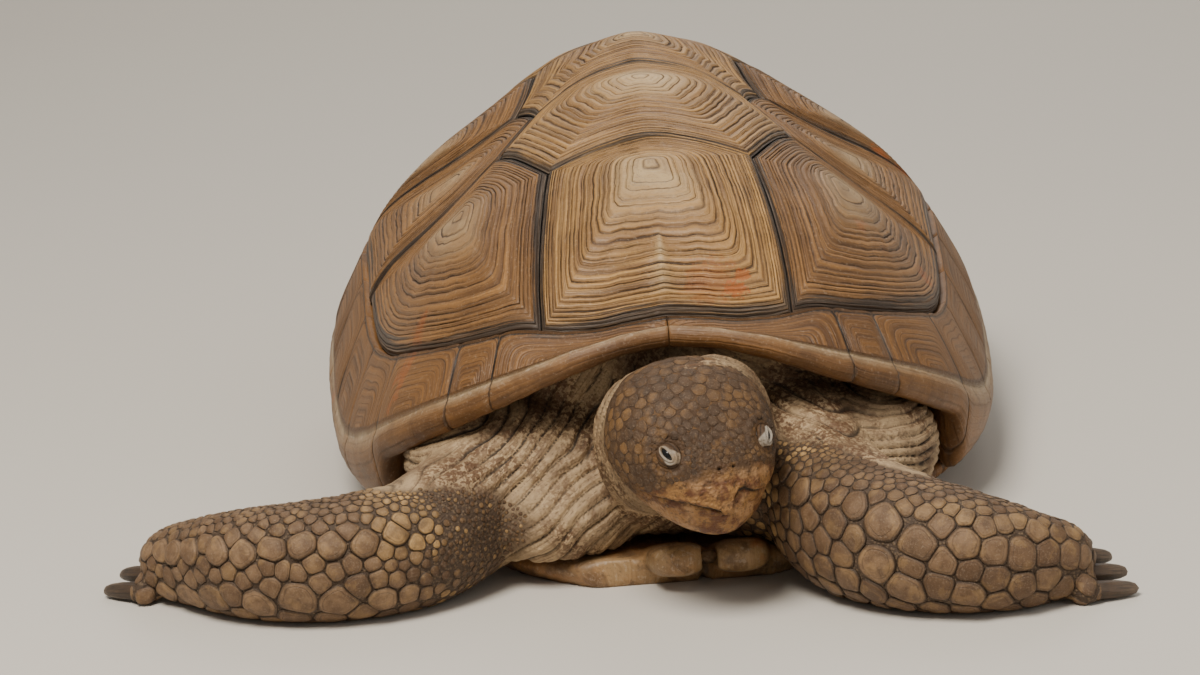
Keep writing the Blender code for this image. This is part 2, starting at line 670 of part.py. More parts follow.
def make_foreleg(side, stations, turn, cutters, plastron_blank):
    """One foreleg and its claws, cut clear of the neck, the head and the plastron."""
    end, before = np.array(stations[-1][:3]), np.array(stations[-3][:3])
    row = claw_row(end, end - before, turn * CLAW_TILT)
    claws = [claw(f"claw_{side}_{i + 1}", root, tip, CLAW_RADIUS) for i, (root, tip) in enumerate(row)]
    leg = tube(f"foreleg_{side}", stations)
    blank = blank_of(leg)
    for solid in claws + cutters:
        boolean(leg, solid, "DIFFERENCE", GAP)
    boolean(leg, plastron_blank, "DIFFERENCE")
    tidy(leg)
    return blank


def make_rear(plastron_blank):
    """The hind legs with their claws, and the tail; returns their uncut copies."""
    left = tube("hindleg_left", HINDLEG)
    right_blank = as_cutter(mirror_copy(left, "blank"))
    blanks = [blank_of(left), right_blank]
    for root, tip in hind_claws():
        nail = as_cutter(claw("nail", root, tip, HIND_CLAW_RADIUS))
        boolean(left, nail, "UNION")
        bpy.data.objects.remove(nail)
    tail = tube("tail", TAIL, floor=0.0)
    blanks.append(blank_of(tail))
    for solid in (left, tail):
        boolean(solid, plastron_blank, "DIFFERENCE")
        tidy(solid)
    mirror_copy(left, "hindleg_right")
    return blanks


def main():
    for obj in list(bpy.data.objects):
        bpy.data.objects.remove(obj)
    make_shell()
    plastron_solid()
    plastron_blank = as_cutter(plastron_plate("blank", 3 * GAP))
    make_head()
    head_blank = as_cutter(head_solid("blank"))
    neck = tube("neck", NECK, sides=16, floor=None)
    neck_blank = blank_of(neck)
    boolean(neck, head_blank, "DIFFERENCE", GAP)
    tidy(neck)
    blanks = [neck_blank]
    for side, stations, turn in (("right", FORELEG_RIGHT, -1), ("left", FORELEG_LEFT, 1)):
        blanks.append(make_foreleg(side, stations, turn, [neck_blank, head_blank], plastron_blank))
    blanks += make_rear(plastron_blank)
    trunk = trunk_solid()
    for blank in blanks:
        boolean(trunk, blank, "DIFFERENCE", GAP)
    boolean(trunk, plastron_blank, "DIFFERENCE")
    tidy(trunk)
    for blank in blanks + [head_blank, plastron_blank]:
        bpy.data.objects.remove(blank)
    for obj in collection(ANIMAL).objects:
        finish(obj)


main()
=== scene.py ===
"""Looks of a life-size resting sulcata tortoise: horn plates, hide, scales, claws and eyes over the frame.

Metres. +Z is up, the head points to -Y, the animal's own left is +X, the floor is z = 0.
"""

import logging
from dataclasses import dataclass, field
from enum import Enum
from typing import Callable, Sequence

import bpy
import numpy as np
from mathutils import Matrix, Vector
from mathutils.bvhtree import BVHTree
from mathutils.kdtree import KDTree


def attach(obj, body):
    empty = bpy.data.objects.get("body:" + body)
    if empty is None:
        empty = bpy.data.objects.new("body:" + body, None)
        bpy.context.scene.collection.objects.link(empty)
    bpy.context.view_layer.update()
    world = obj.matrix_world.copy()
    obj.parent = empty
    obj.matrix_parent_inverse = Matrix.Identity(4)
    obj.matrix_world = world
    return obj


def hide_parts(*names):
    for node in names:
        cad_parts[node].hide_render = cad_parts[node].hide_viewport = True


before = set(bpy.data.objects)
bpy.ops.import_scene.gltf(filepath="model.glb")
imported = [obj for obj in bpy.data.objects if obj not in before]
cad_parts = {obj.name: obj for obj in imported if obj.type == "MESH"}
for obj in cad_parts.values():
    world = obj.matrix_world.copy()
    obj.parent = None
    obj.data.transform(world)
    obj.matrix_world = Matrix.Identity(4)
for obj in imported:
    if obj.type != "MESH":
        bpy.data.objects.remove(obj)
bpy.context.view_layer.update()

Array, Piece, Socket = np.ndarray, bpy.types.Object, bpy.types.NodeSocket
Material, Tree = bpy.types.Material, bpy.types.NodeTree
Spot = Colour = tuple[float, float, float]
Pair, Rows = tuple[Array, Array], tuple[tuple[float, ...], ...]
Maker = Callable[[Array, Array], Array]
LOG = logging.getLogger("tortoise")
MERGE = 1e-6  # points closer than this are one
MILLI = 1000  # millimetres in a metre
CLEAR = 0.0003  # the least height of the skin and its scales over the floor
FOOT = 0.0002  # the least height of the forms of limbs and claws over the floor
CHUNK = 4000  # points measured at a time
PAIRS = 2000000  # pairs of points measured at a time
UP = np.array([0, 0, 1.0])
ROOT = "root"


# ---- numbers ------------------------------------------------------------------------------------------
def smooth(low: float, high: float, x: Array) -> Array:
    """A soft step from 0 at low to 1 at high."""
    t = np.clip((x - low) / (high - low), 0, 1)
    return t * t * (3 - 2 * t)


def hump(x: Array, centre: float, half: float) -> Array:
    """A soft bump of height 1 at centre that ends half away from it."""
    return np.clip(1 - ((x - centre) / half) ** 2, 0, 1) ** 2


def bell(*offsets: Array) -> Array:
    """A smooth bump of height 1 where all the offsets are 0."""
    return np.exp(-sum(x**2 for x in offsets))


def ridges(phase: Array) -> Array:
    """Waves that fall to 0 at whole numbers and rise to 1 between them."""
    return np.abs(np.sin(np.pi * phase))


def squared(angle: Array, power: float) -> Pair:
    """Cosine and sine of an angle, squared off by a power under 1."""
    c, s = np.cos(angle), np.sin(angle)
    return np.sign(c) * np.abs(c) ** power, np.sign(s) * np.abs(s) ** power


def cosine_and_sine(turns: Array) -> Pair:
    """Cosine and sine of full turns."""
    return np.cos(2 * np.pi * turns), np.sin(2 * np.pi * turns)


def run_along(points: Array) -> Array:
    """How far each point of a path lies along it."""
    return np.concatenate([[0], np.cumsum(np.linalg.norm(np.diff(points, axis=0), axis=1))])


def turned(yaw: float, pitch: float) -> Array:
    """The turn of a frame, in degrees to the left and then up."""
    return np.array(Matrix.Rotation(np.radians(yaw), 3, "Z") @ Matrix.Rotation(np.radians(pitch), 3, "X"))


def unit(v: Array) -> Array:
    """Vectors scaled to length 1."""
    return v / np.maximum(np.linalg.norm(v, axis=-1, keepdims=True), 1e-12)


def spline(stations: Array, at: Array) -> Array:
    """A smooth curve through stations.

    Args:
        stations: one row for each station.
        at: places along the curve, 0 at the first station and 1 at the last.

    Returns:
        One interpolated row for each place.
    """
    last = len(stations) - 1
    t = np.clip(at, 0, 1) * last
    i = np.minimum(t.astype(int), last - 1)
    f = (t - i)[:, None]
    a, b, c, d = (stations[np.clip(i + k, 0, last)] for k in (-1, 0, 1, 2))
    return 0.5 * (2 * b + (c - a) * f + (2 * a - 5 * b + 4 * c - d) * f**2 + (3 * b - a - 3 * c + d) * f**3)


def noise(p: Array, size: float, seed: int = 0, layers: int = 1) -> Array:
    """Smooth random values from -1 to 1 over space.

    Args:
        p: points, one row each.
        size: width of the largest blotches in metres.
        seed: another seed gives another pattern.
        layers: how many finer patterns are laid over the first.

    Returns:
        One value for each point.
    """
    total, weight = np.zeros(len(p)), 0.0
    for layer in range(layers):
        q = p / size * 2**layer + 31.7 * seed + 17.1 * layer
        cell = np.floor(q)
        f = q - cell
        f = f * f * (3 - 2 * f)
        value = np.zeros(len(p))
        for corner in np.ndindex(2, 2, 2):
            key = (cell + corner) @ np.array([127.1, 311.7, 74.7])
            mixed = np.sin(key) * 43758.5453
            share = np.prod(np.where(corner, f, 1 - f), axis=-1)
            value += share * (mixed - np.floor(mixed))
        total += (2 * value - 1) * 0.55**layer
        weight += 0.55**layer
    return total / weight


# ---- meshes -------------------------------------------------------------------------------------------
def select_only(*pieces: Piece) -> None:
    """Selects these pieces and nothing else, the first of them active."""
    bpy.ops.object.select_all(action="DESELECT")
    for piece in pieces:
        piece.select_set(True)
    bpy.context.view_layer.objects.active = pieces[0]


def read(parts: Sequence, key: str, wide: int = 3, kind: type = np.int32) -> Array:
    """What all the parts of a mesh hold under a name, one row each."""
    flat = np.empty(len(parts) * wide, dtype=kind)
    parts.foreach_get(key, flat)
    return flat.reshape(-1, wide)


def points_of(piece: Piece) -> Array:
    """Places of all the vertices, one row each."""
    return read(piece.data.vertices, "co", 3, np.float32).astype(float)


def normals_of(piece: Piece) -> Array:
    """Outward directions of all the vertices, one row each."""
    return read(piece.data.vertex_normals, "vector", 3, np.float32).astype(float)


def move_points(piece: Piece, places: Array) -> None:
    """Puts all the vertices at new places."""
    piece.data.vertices.foreach_set("co", np.asarray(places, dtype=np.float32).ravel())
    piece.data.update()


def paint(piece: Piece, name: str, values: Array) -> None:
    """Stores one number for each vertex under a name that materials read."""
    layer = piece.data.attributes.get(name) or piece.data.attributes.new(name, "FLOAT", "POINT")
    layer.data.foreach_set("value", np.asarray(values, dtype=np.float32))


def paint_even(piece: Piece, **values: float) -> None:
    """Stores the same number at all the vertices, name by name."""
    for name, value in values.items():
        paint(piece, name, np.full(len(piece.data.vertices), value))


def lay_map(piece: Piece, name: str, places: Array) -> None:
    """Writes a UV map from one pair of numbers for each vertex."""
    layer = piece.data.uv_layers.get(name) or piece.data.uv_layers.new(name=name)
    corners = read(piece.data.loops, "vertex_index", 1)[:, 0]
    layer.data.foreach_set("uv", places[corners].astype(np.float32).ravel())


def close_up(piece: Piece, gap: float = MERGE) -> None:
    """Merges doubled points and turns the faces outward."""
    select_only(piece)
    bpy.ops.object.mode_set(mode="EDIT")
    bpy.ops.mesh.select_all(action="SELECT")
    bpy.ops.mesh.remove_doubles(threshold=gap)
    bpy.ops.mesh.normals_make_consistent(inside=False)
    bpy.ops.object.mode_set(mode="OBJECT")


def added(add: Callable, **sizes: float) -> Piece:
    """Adds one of Blender's basic meshes with nothing else selected."""
    bpy.ops.object.select_all(action="DESELECT")
    add(**sizes)
    return bpy.context.object


def ball(columns: int, rings: int, radius: float = 1.0) -> Piece:
    """A round ball, to be shaped further."""
    return added(bpy.ops.mesh.primitive_uv_sphere_add, segments=columns, ring_count=rings, radius=radius)


def sheet_of(columns: int, rows: int, size: float = 1.0) -> Piece:
    """A flat square grid, to be shaped further."""
    return added(bpy.ops.mesh.primitive_grid_add, x_subdivisions=columns, y_subdivisions=rows, size=size)


def wrapped_grid(name: str, around: int, along: int, place: Maker, lie: Maker | None = None,
                 marks: Callable[[Array, Array], dict[str, Array]] | None = None) -> Piece:
    """A closed skin made by wrapping a flat grid onto a surface.

    Args:
        name: the piece's name.
        around: faces across the grid.
        along: faces up the grid.
        place: gives the places of grid points from their two shares, each from 0 to 1.
        lie: gives the map "lie" that a pattern follows.
        marks: gives named numbers to store at the points.

    Returns:
        The piece, its seam and poles merged.
    """
    piece = sheet_of(around, along)
    piece.name = piece.data.name = name
    flat = points_of(piece)
    u, v = flat[:, 0] + 0.5, flat[:, 1] + 0.5
    move_points(piece, place(u, v))
    while piece.data.uv_layers:
        piece.data.uv_layers.remove(piece.data.uv_layers[0])
    if lie:
        lay_map(piece, "lie", lie(u, v))
    for key, values in (marks(u, v) if marks else {}).items():
        paint(piece, key, values)
    close_up(piece)
    piece.data.shade_smooth()
    return piece


def finish_with(piece: Piece, kind: str, **settings: object) -> None:
    """Adds a modifier, sets it and applies it."""
    modifier = piece.modifiers.new(kind.lower(), kind)
    for key, value in settings.items():
        setattr(modifier, key, value)
    select_only(piece)
    bpy.ops.object.modifier_apply(modifier=modifier.name)


def joined(name: str, pieces: Sequence[Piece]) -> Piece:
    """Makes several pieces one object."""
    select_only(*pieces)
    if len(pieces) > 1:
        bpy.ops.object.join()
    pieces[0].name = pieces[0].data.name = name
    return pieces[0]


def fused(name: str, pieces: Sequence[Piece], voxel: float, rounds: int) -> Piece:
    """Fuses overlapping forms into one skin and smooths it."""
    piece = joined(name, pieces)
    finish_with(piece, "REMESH", mode="VOXEL", voxel_size=voxel, use_smooth_shade=True)
    finish_with(piece, "SMOOTH", factor=0.5, iterations=rounds)
    return piece


def shown(name: str, data: bpy.types.ID) -> Piece:
    """A new object of the scene that shows this data."""
    piece = bpy.data.objects.new(name, data)
    bpy.context.scene.collection.objects.link(piece)
    return piece


def dressed(piece: Piece, material: Material, slot: str, *nodes: str) -> None:
    """Gives a finished piece its material, its body and the solids that it stands for."""
    piece.data.materials.clear()
    piece.data.materials.append(material)
    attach(piece, ROOT)
    if nodes:
        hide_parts(*nodes)
    LOG.info("%s: %d faces", piece.name, len(piece.data.polygons))


# ---- materials ----------------------------------------------------------------------------------------
@dataclass(frozen=True)
class Value:
    """An output to reckon with: what is done to it becomes a math node."""

    sheet: "Sheet"
    socket: Socket

    def __add__(self, other: object) -> "Value":
        """Their sum."""
        return self.sheet.math("ADD", self, other)

    def __sub__(self, other: object) -> "Value":
        """Their difference."""
        return self.sheet.math("SUBTRACT", self, other)

    def __rsub__(self, other: object) -> "Value":
        """Their difference, the other way round."""
        return self.sheet.math("SUBTRACT", other, self)

    def __mul__(self, other: object) -> "Value":
        """Their product."""
        return self.sheet.math("MULTIPLY", self, other)

    def __truediv__(self, other: object) -> "Value":
        """Their quotient."""
        return self.sheet.math("DIVIDE", self, other)


class Sheet:
    """A node tree under construction, with short calls for the nodes that the finishes need."""

    def __init__(self, tree: Tree) -> None:
        """Starts with an empty tree."""
        self.tree = tree
        self.tree.nodes.clear()

    def add(self, kind: str, **settings: object) -> bpy.types.Node:
        """Adds a node and sets its properties."""
        node = self.tree.nodes.new(kind)
        node.location = (220 * len(self.tree.nodes), 0)
        for key, value in settings.items():
            setattr(node, key, value)
        return node

    def feed(self, socket: Socket, value: object) -> None:
        """Links a socket to a value, or sets its constant."""
        if isinstance(value, Value):
            self.tree.links.new(value.socket, socket)
        elif isinstance(value, tuple) and len(value) < len(socket.default_value):
            socket.default_value = (*value, 1.0)
        else:
            socket.default_value = value

    def made(self, kind: str, inputs: Sequence | dict, output: int | str = 0, **settings: object) -> Value:
        """Adds a node, feeds its inputs by name or in order, and gives one output."""
        node = self.add(kind, **settings)
        for key, value in (inputs.items() if isinstance(inputs, dict) else enumerate(inputs)):
            self.feed(node.inputs[key], value)
        return Value(self, node.outputs[output])

    def math(self, operation: str, *values: object) -> Value:
        """A math node."""
        return self.made("ShaderNodeMath", values, operation=operation)

    def step(self, x: object, low: float, high: float, first: float = 0.0, last: float = 1.0) -> Value:
        """A soft step of x from low to high, clamped."""
        return self.made("ShaderNodeMapRange", (x, low, high, first, last), interpolation_type="SMOOTHSTEP")

    def mix(self, share: object, a: object, b: object) -> Value:
        """A mix of two colours."""
        return self.made("ShaderNodeMix", {0: share, 6: a, 7: b}, 2, data_type="RGBA")

    def layered(self, ground: object, *layers: tuple) -> Value:
        """A ground with colours laid over it in turn, each with its share."""
        for share, colour in layers:
            ground = self.mix(share, ground, colour)
        return ground

    def number(self, name: str) -> Value:
        """A number stored at the points."""
        return self.made("ShaderNodeAttribute", (), "Fac", attribute_name=name)

    def place(self) -> Value:
        """Object coordinates."""
        return self.made("ShaderNodeTexCoord", (), "Object")

    def lie(self) -> list[Value]:
        """The two parts of the map "lie"."""
        node = self.add("ShaderNodeSeparateXYZ")
        self.feed(node.inputs[0], self.made("ShaderNodeUVMap", (), uv_map="lie"))
        return [Value(self, part) for part in node.outputs]

    def vector(self, x: object, y: object, z: object = 0.0) -> Value:
        """A vector from its three parts."""
        return self.made("ShaderNodeCombineXYZ", (x, y, z))

    def speckle(self, vector: object, scale: float, detail: float = 3.0, rough: float = 0.55,
                bend: float = 0.0, row: Value | None = None) -> Value:
        """Noise from 0 to 1; where a row is given, it changes once for each 1 of it."""
        inputs = {"Vector": vector, "Scale": scale, "Detail": detail, "Roughness": rough, "Distortion": bend}
        if row is None:
            return self.made("ShaderNodeTexNoise", inputs, "Fac", noise_dimensions="3D")
        return self.made("ShaderNodeTexNoise", {"W": row / scale, **inputs}, "Fac", noise_dimensions="4D")

    def blots(self, place: Value, grain: tuple, *span: float) -> Value:
        """Blotches: noise of a scale, detail, roughness and bend, stepped over a span."""
        return self.step(self.speckle(place, *grain), *span)

    def cells(self, vector: object, scale: float) -> Value:
        """Distance in a cell pattern."""
        return self.made("ShaderNodeTexVoronoi", {"Vector": vector, "Scale": scale}, "Distance")

    def apart(self, vector: Value, spot: Spot) -> Value:
        """Distance from a fixed spot."""
        return self.made("ShaderNodeVectorMath", (vector, spot), "Value", operation="DISTANCE")

    def group(self, shared: Tree, **values: object) -> dict[str, Value]:
        """A shared effect placed with its own values."""
        node = self.add("ShaderNodeGroup", node_tree=shared)
        for key, value in values.items():
            self.feed(node.inputs[key], value)
        return {output.name: Value(self, output) for output in node.outputs}

    def relief(self, height: Value, depth: float) -> Value:
        """A bumped normal from a height of 0 to 1 that spans this depth."""
        return self.made("ShaderNodeBump", {"Strength": 1.0, "Distance": depth, "Height": height})


def shared_group(name: str, inputs: dict[str, str], outputs: dict[str, str]) -> tuple[Sheet, dict, dict]:
    """Starts a shader group.

    Args:
        name: the group's name.
        inputs: socket types by name.
        outputs: socket types by name.

    Returns:
        Its sheet, its inputs as values by name, and its output sockets by name.
    """
    tree = bpy.data.node_groups.new(name, "ShaderNodeTree")
    for way, sockets in (("INPUT", inputs), ("OUTPUT", outputs)):
        for key, kind in sockets.items():
            tree.interface.new_socket(key, in_out=way, socket_type=kind)
    sheet = Sheet(tree)
    source, result = sheet.add("NodeGroupInput"), sheet.add("NodeGroupOutput")
    return sheet, {k: Value(sheet, source.outputs[k]) for k in inputs}, {k: result.inputs[k] for k in outputs}


FLOAT, VECTOR = "NodeSocketFloat", "NodeSocketVector"


def make_ring_marks() -> Tree:
    """Growth lines of horn: dark grooves at whole ring numbers and streaks that run with them."""
    sheet, given, out = shared_group(
        "growth_lines", {"Ring": FLOAT, "Place": VECTOR},
        dict.fromkeys(("Groove", "Fine", "Streak", "Terrace"), FLOAT))
    place = given["Place"]
    waver = sheet.speckle(place, 60.0, 3.0)
    ring = given["Ring"] + (waver * 0.5 - 0.25)
    away = sheet.math("PINGPONG", ring, 0.5)
    number = sheet.math("ROUND", ring)
    own = sheet.made("ShaderNodeTexWhiteNoise", {"W": number * 1.37}, noise_dimensions="1D")
    reach = sheet.step(own, 0.0, 1.0, 0.06, 0.20)
    line = sheet.math("MAXIMUM", 1.0 - away / reach, 0.0)
    broken = sheet.step(sheet.speckle(place, 17.0, 3.0, row=number), 0.34, 0.60)
    strength = own * 0.5 + 0.5
    sheet.feed(out["Groove"], line * (broken * strength + 0.22))
    thin = sheet.speckle(place, 11.0, 2.0, row=ring * 5.5)
    sheet.feed(out["Fine"], sheet.step(thin, 0.50, 0.66))
    band = sheet.speckle(place, 8.0, 4.0, row=ring * 1.5)
    sheet.feed(out["Streak"], sheet.step(band, 0.32, 0.68))
    sheet.feed(out["Terrace"], sheet.math("FRACT", ring))
    return sheet.tree


def make_mottle() -> Tree:
    """Blotches at two sizes, and fine grit, for anything dusty and weathered."""
    sheet, given, out = shared_group(
        "weathering", {"Place": VECTOR, "Blotch": FLOAT, "Grit": FLOAT},
        dict.fromkeys(("Blotch", "Patch", "Grit"), FLOAT))
    place = given["Place"]
    sheet.feed(out["Blotch"], sheet.blots(place, (given["Blotch"], 5.0, 0.62), 0.38, 0.64))
    sheet.feed(out["Patch"], sheet.blots(place, (given["Blotch"] * 0.31, 3.0, 0.5, 0.6), 0.40, 0.62))
    sheet.feed(out["Grit"], sheet.speckle(place, given["Grit"], 6.0, 0.7))
    return sheet.tree


class Wear(Enum):
    """How much of the growth relief a horn piece still shows."""

    RIDGED = 1.0
    RUBBED = 0.45
    SMOOTH = 0.22


@dataclass(frozen=True)
class HornFinish:
    """Satin horn with growth lines, painted shade on the step of each ring, dark seams, worn pale ground and
    orange scuffs.
    """

    name: str
    light: Colour = (0.430, 0.236, 0.074)
    dark: Colour = (0.175, 0.088, 0.034)
    worn: Colour = (0.500, 0.345, 0.170)
    orange: Colour = (0.330, 0.086, 0.012)
    groove: Colour = (0.040, 0.020, 0.010)
    seam: Colour = (0.022, 0.017, 0.014)
    seam_band: Colour = (0.036, 0.027, 0.021)
    seam_streak: Colour = (0.180, 0.135, 0.098)
    dust: Colour = (0.50, 0.40, 0.29)
    wear: Wear = Wear.RIDGED
    seam_width: float = 1.7  # millimetres, as the band's
    band_share: float = 0.88
    plain_lip: float = 0.85
    flakes: Rows = ()  # place, reach and strength of orange flakes
    blotches: float = 26.0  # for each metre
    grit: float = 420.0
    depth: float = 0.0012

    def build(self, lines: Tree, weather: Tree) -> Material:
        """Makes the material.

        Args:
            lines: the shared growth lines.
            weather: the shared weathering.

        Returns:
            The material.
        """
        material, sheet = new_material(self.name)
        place = sheet.place()
        lie = sheet.lie()
        marks = sheet.group(lines, Ring=lie[1], Place=place)
        stain = sheet.group(weather, Place=place, Blotch=self.blotches, Grit=self.grit)
        edge, rub, lip, band = (sheet.number(k) for k in ("seam", "worn", "lip", "band"))
        plain = 1.0 - lip * self.plain_lip
        ridged = plain * self.wear.value
        groove = marks["Groove"] * ridged
        soft = sheet.blots(place, (22.0, 4.0, 0.6, 1.2), 0.35, 0.65)
        colour = sheet.mix(marks["Streak"] * plain + soft * (1.0 - plain), self.dark, self.light)
        # painted shade: each growth ring darkens toward its outer step, where the relief falls
        lower = sheet.step(marks["Terrace"], 0.45, 1.0) * ridged
        fine = marks["Fine"] * ridged
        pale = rub * (stain["Blotch"] * 0.55 + 0.4)
        shade = sheet.blots(place, (45.0, 4.0, 0.62, 0.8), 0.52, 0.36, 0.0, 0.75)
        chips = sheet.blots(place, (240.0, 3.0, 0.6, 0.4), 0.55, 0.66, 0.0, 0.55)
        scuff = sheet.blots(place, (9.0, 4.0, 0.55, 0.8), 0.66, 0.71)
        colour = sheet.layered(
            colour, (stain["Blotch"] * 0.26, self.dark), (stain["Patch"] * 0.4, self.light),
            (lower * 0.42, self.dark),
            (fine * 0.5, self.groove), (pale, self.worn), (groove, self.groove),
            (shade * (lip * self.plain_lip), self.dark), (chips * (lip * rub), self.dust),
            (scuff * 0.5, self.orange))
        for x, y, z, reach, strength in self.flakes:
            ragged = sheet.speckle(place, 190.0, 4.0, 0.75, 0.6) * (reach * 3.0) - reach * 1.5
            flake = sheet.step(sheet.apart(place, (x, y, z)) + ragged, reach, reach * 0.7, 0.0, strength)
            colour = sheet.mix(flake, colour, self.orange)
        dusty = sheet.step(stain["Grit"], 0.54, 0.70)
        grimy = sheet.step(stain["Grit"], 0.46, 0.32, 0.0, 0.40)
        run = edge + (stain["Grit"] * 1.6 - 0.8) + (sheet.speckle(place, 34.0, 4.0, 0.65) * 5.0 - 2.5)
        streaked = marks["Streak"] * 0.8 - 0.42
        dim = sheet.step(run / band + streaked, 0.95, 0.35, 0.0, self.band_share)
        hair = sheet.speckle(place, 9.0, 2.0, row=edge * 1.15)
        banded = sheet.mix(sheet.step(hair, 0.54, 0.68), self.seam_band, self.seam_streak)
        near = edge + (stain["Grit"] * 2.4 - 1.2)
        seam = sheet.step(near, self.seam_width, self.seam_width * 0.3)
        colour = sheet.layered(
            colour, (dusty * 0.26, self.dust), (grimy, self.groove), (dim, banded), (seam * 0.92, self.seam))
        height = marks["Streak"] * 0.25 + 0.5 - groove * 0.6 - fine * 0.22 - lower * 0.3
        height = height + stain["Grit"] * 0.2 - dim * (hair * 0.7)
        rough = stain["Grit"] * 0.22 + 0.36 + groove * 0.25
        return principled(material, sheet, colour, rough, sheet.relief(height, self.depth), specular=0.42)


@dataclass(frozen=True)
class HideFinish:
    """Dry hide: cream folds with brown speckle, painted shade in the creases, dark arms, an orange beak and
    grey lids.
    """

    name: str = "hide"
    cream: Colour = (0.430, 0.298, 0.165)
    grey: Colour = (0.250, 0.168, 0.094)
    brown: Colour = (0.105, 0.050, 0.023)
    arm: Colour = (0.060, 0.037, 0.022)
    crown: Colour = (0.060, 0.030, 0.012)
    amber: Colour = (0.240, 0.120, 0.036)
    beak: Colour = (0.260, 0.130, 0.042)
    rust: Colour = (0.105, 0.038, 0.013)
    lid: Colour = (0.268, 0.228, 0.182)
    # painted shade: near-black laid into the creases of folds, the mouth line, the nostrils and the lids'
    # wrinkles
    crease: Colour = (0.026, 0.017, 0.011)
    blotches: float = 34.0  # for each metre
    grit: float = 620.0
    depth: float = 0.0012

    def build(self, weather: Tree) -> Material:
        """Makes the material.

        Args:
            weather: the shared weathering.

        Returns:
            The material.
        """
        material, sheet = new_material(self.name)
        place = sheet.place()
        stain = sheet.group(weather, Place=place, Blotch=self.blotches, Grit=self.grit)
        fold, arm, head, beak, lid, crease = map(
            sheet.number, ("fold", "arm", "head", "beak", "lid", "crease"))
        grain = sheet.cells(place, 430.0)
        beads = sheet.step(grain, 0.55, 0.15)
        colour = sheet.mix(stain["Blotch"], self.cream, self.grey)
        patch = sheet.blots(place, (15.0, 4.0, 0.6), 0.42, 0.58) * 0.9
        specks = sheet.blots(place, (330.0, 3.0, 0.6), 0.42, 0.54)
        smear = sheet.blots(place, (34.0, 5.0, 0.68, 0.5), 0.53, 0.66, 0.0, 0.62)
        lines = sheet.speckle(sheet.vector(fold * 2.6, 0.0, stain["Patch"] * 0.6), 1.0, 4.0, 0.6)
        # painted shade: brown laid where the fine fold relief is low, in its wrinkles
        furrow_shade = sheet.step(lines, 0.46, 0.34)
        dark = sheet.mix(beads * 0.4, self.arm, self.grey)
        skull = sheet.layered(
            self.crown, (sheet.blots(place, (85.0, 4.0, 0.6), 0.48, 0.66, 0.0, 0.45), self.amber),
            (specks * 0.55, self.crown))
        horn = sheet.layered(
            self.beak, (sheet.blots(place, (120.0, 5.0, 0.6), 0.40, 0.60), self.rust),
            (sheet.blots(place, (55.0, 3.0), 0.50, 0.64), self.worn_tan()),
            (sheet.blots(place, (260.0, 4.0, 0.7), 0.52, 0.66, 0.0, 0.75), self.crown))
        # the last layer lays painted shade into the creases
        colour = sheet.layered(
            colour, (smear, self.brown), (specks * patch, self.brown), (furrow_shade * 0.55, self.brown),
            (arm, dark),
            (head, skull), (beak, horn), (lid, sheet.mix(stain["Blotch"], self.lid, self.grey)),
            (sheet.step(crease, 0.15, 0.90, 0.0, 0.93), self.crease))
        height = sheet.step(grain, 0.7, 0.1) * 0.35 + lines * 0.8 + stain["Grit"] * 0.3
        rough = stain["Grit"] * 0.25 + 0.52 - beak * 0.16
        return principled(material, sheet, colour, rough, sheet.relief(height, self.depth), specular=0.35)

    def worn_tan(self) -> Colour:
        """The pale tan that a beak wears to."""
        return tuple(min(1.0, c * 1.15 + 0.03) for c in self.beak)


@dataclass(frozen=True)
class ScaleFinish:
    """Horn scales on the hide: pale worn tops, dark rims, amber ones near the elbow."""

    name: str = "scales"
    pale: Colour = (0.268, 0.162, 0.083)
    brown: Colour = (0.086, 0.043, 0.018)
    amber: Colour = (0.480, 0.290, 0.110)
    rim: Colour = (0.034, 0.019, 0.010)
    dust: Colour = (0.44, 0.34, 0.24)
    rim_from: float = 0.80
    stained: float = 0.20  # how much amber and dark patches run across the scales
    blotches: float = 120.0  # for each metre
    grit: float = 800.0
    depth: float = 0.0006

    def build(self, weather: Tree) -> Material:
        """Makes the material.

        Args:
            weather: the shared weathering.

        Returns:
            The material.
        """
        material, sheet = new_material(self.name)
        place = sheet.place()
        stain = sheet.group(weather, Place=place, Blotch=self.blotches, Grit=self.grit)
        tone, gold, out = sheet.number("tone"), sheet.number("gold"), sheet.number("out")
        rings = sheet.math("PINGPONG", stain["Patch"] * 0.5 + out * 4.0, 0.5)
        ring = sheet.step(rings, 0.16, 0.0) * sheet.step(out, 0.35, 0.8, 0.0, 0.5)
        colour = sheet.layered(
            self.brown, (tone, self.pale), (gold, self.amber), (stain["Blotch"] * 0.62, self.brown),
            (ring, self.rim),
            (sheet.blots(place, (70.0, 4.0, 0.6, 0.6), 0.50, 0.62, 0.0, self.stained), self.amber),
            (sheet.blots(place, (48.0, 3.0, 0.6, 0.6), 0.50, 0.36, 0.0, self.stained * 1.4), self.rim),
            (sheet.step(out, self.rim_from, 1.0, 0.0, 0.95), self.rim),
            (sheet.step(stain["Grit"], 0.50, 0.72, 0.0, 0.30), self.dust))
        relief = sheet.relief(stain["Grit"] - ring * 0.8, self.depth)
        return principled(material, sheet, colour, stain["Grit"] * 0.25 + 0.42, relief, specular=0.40)


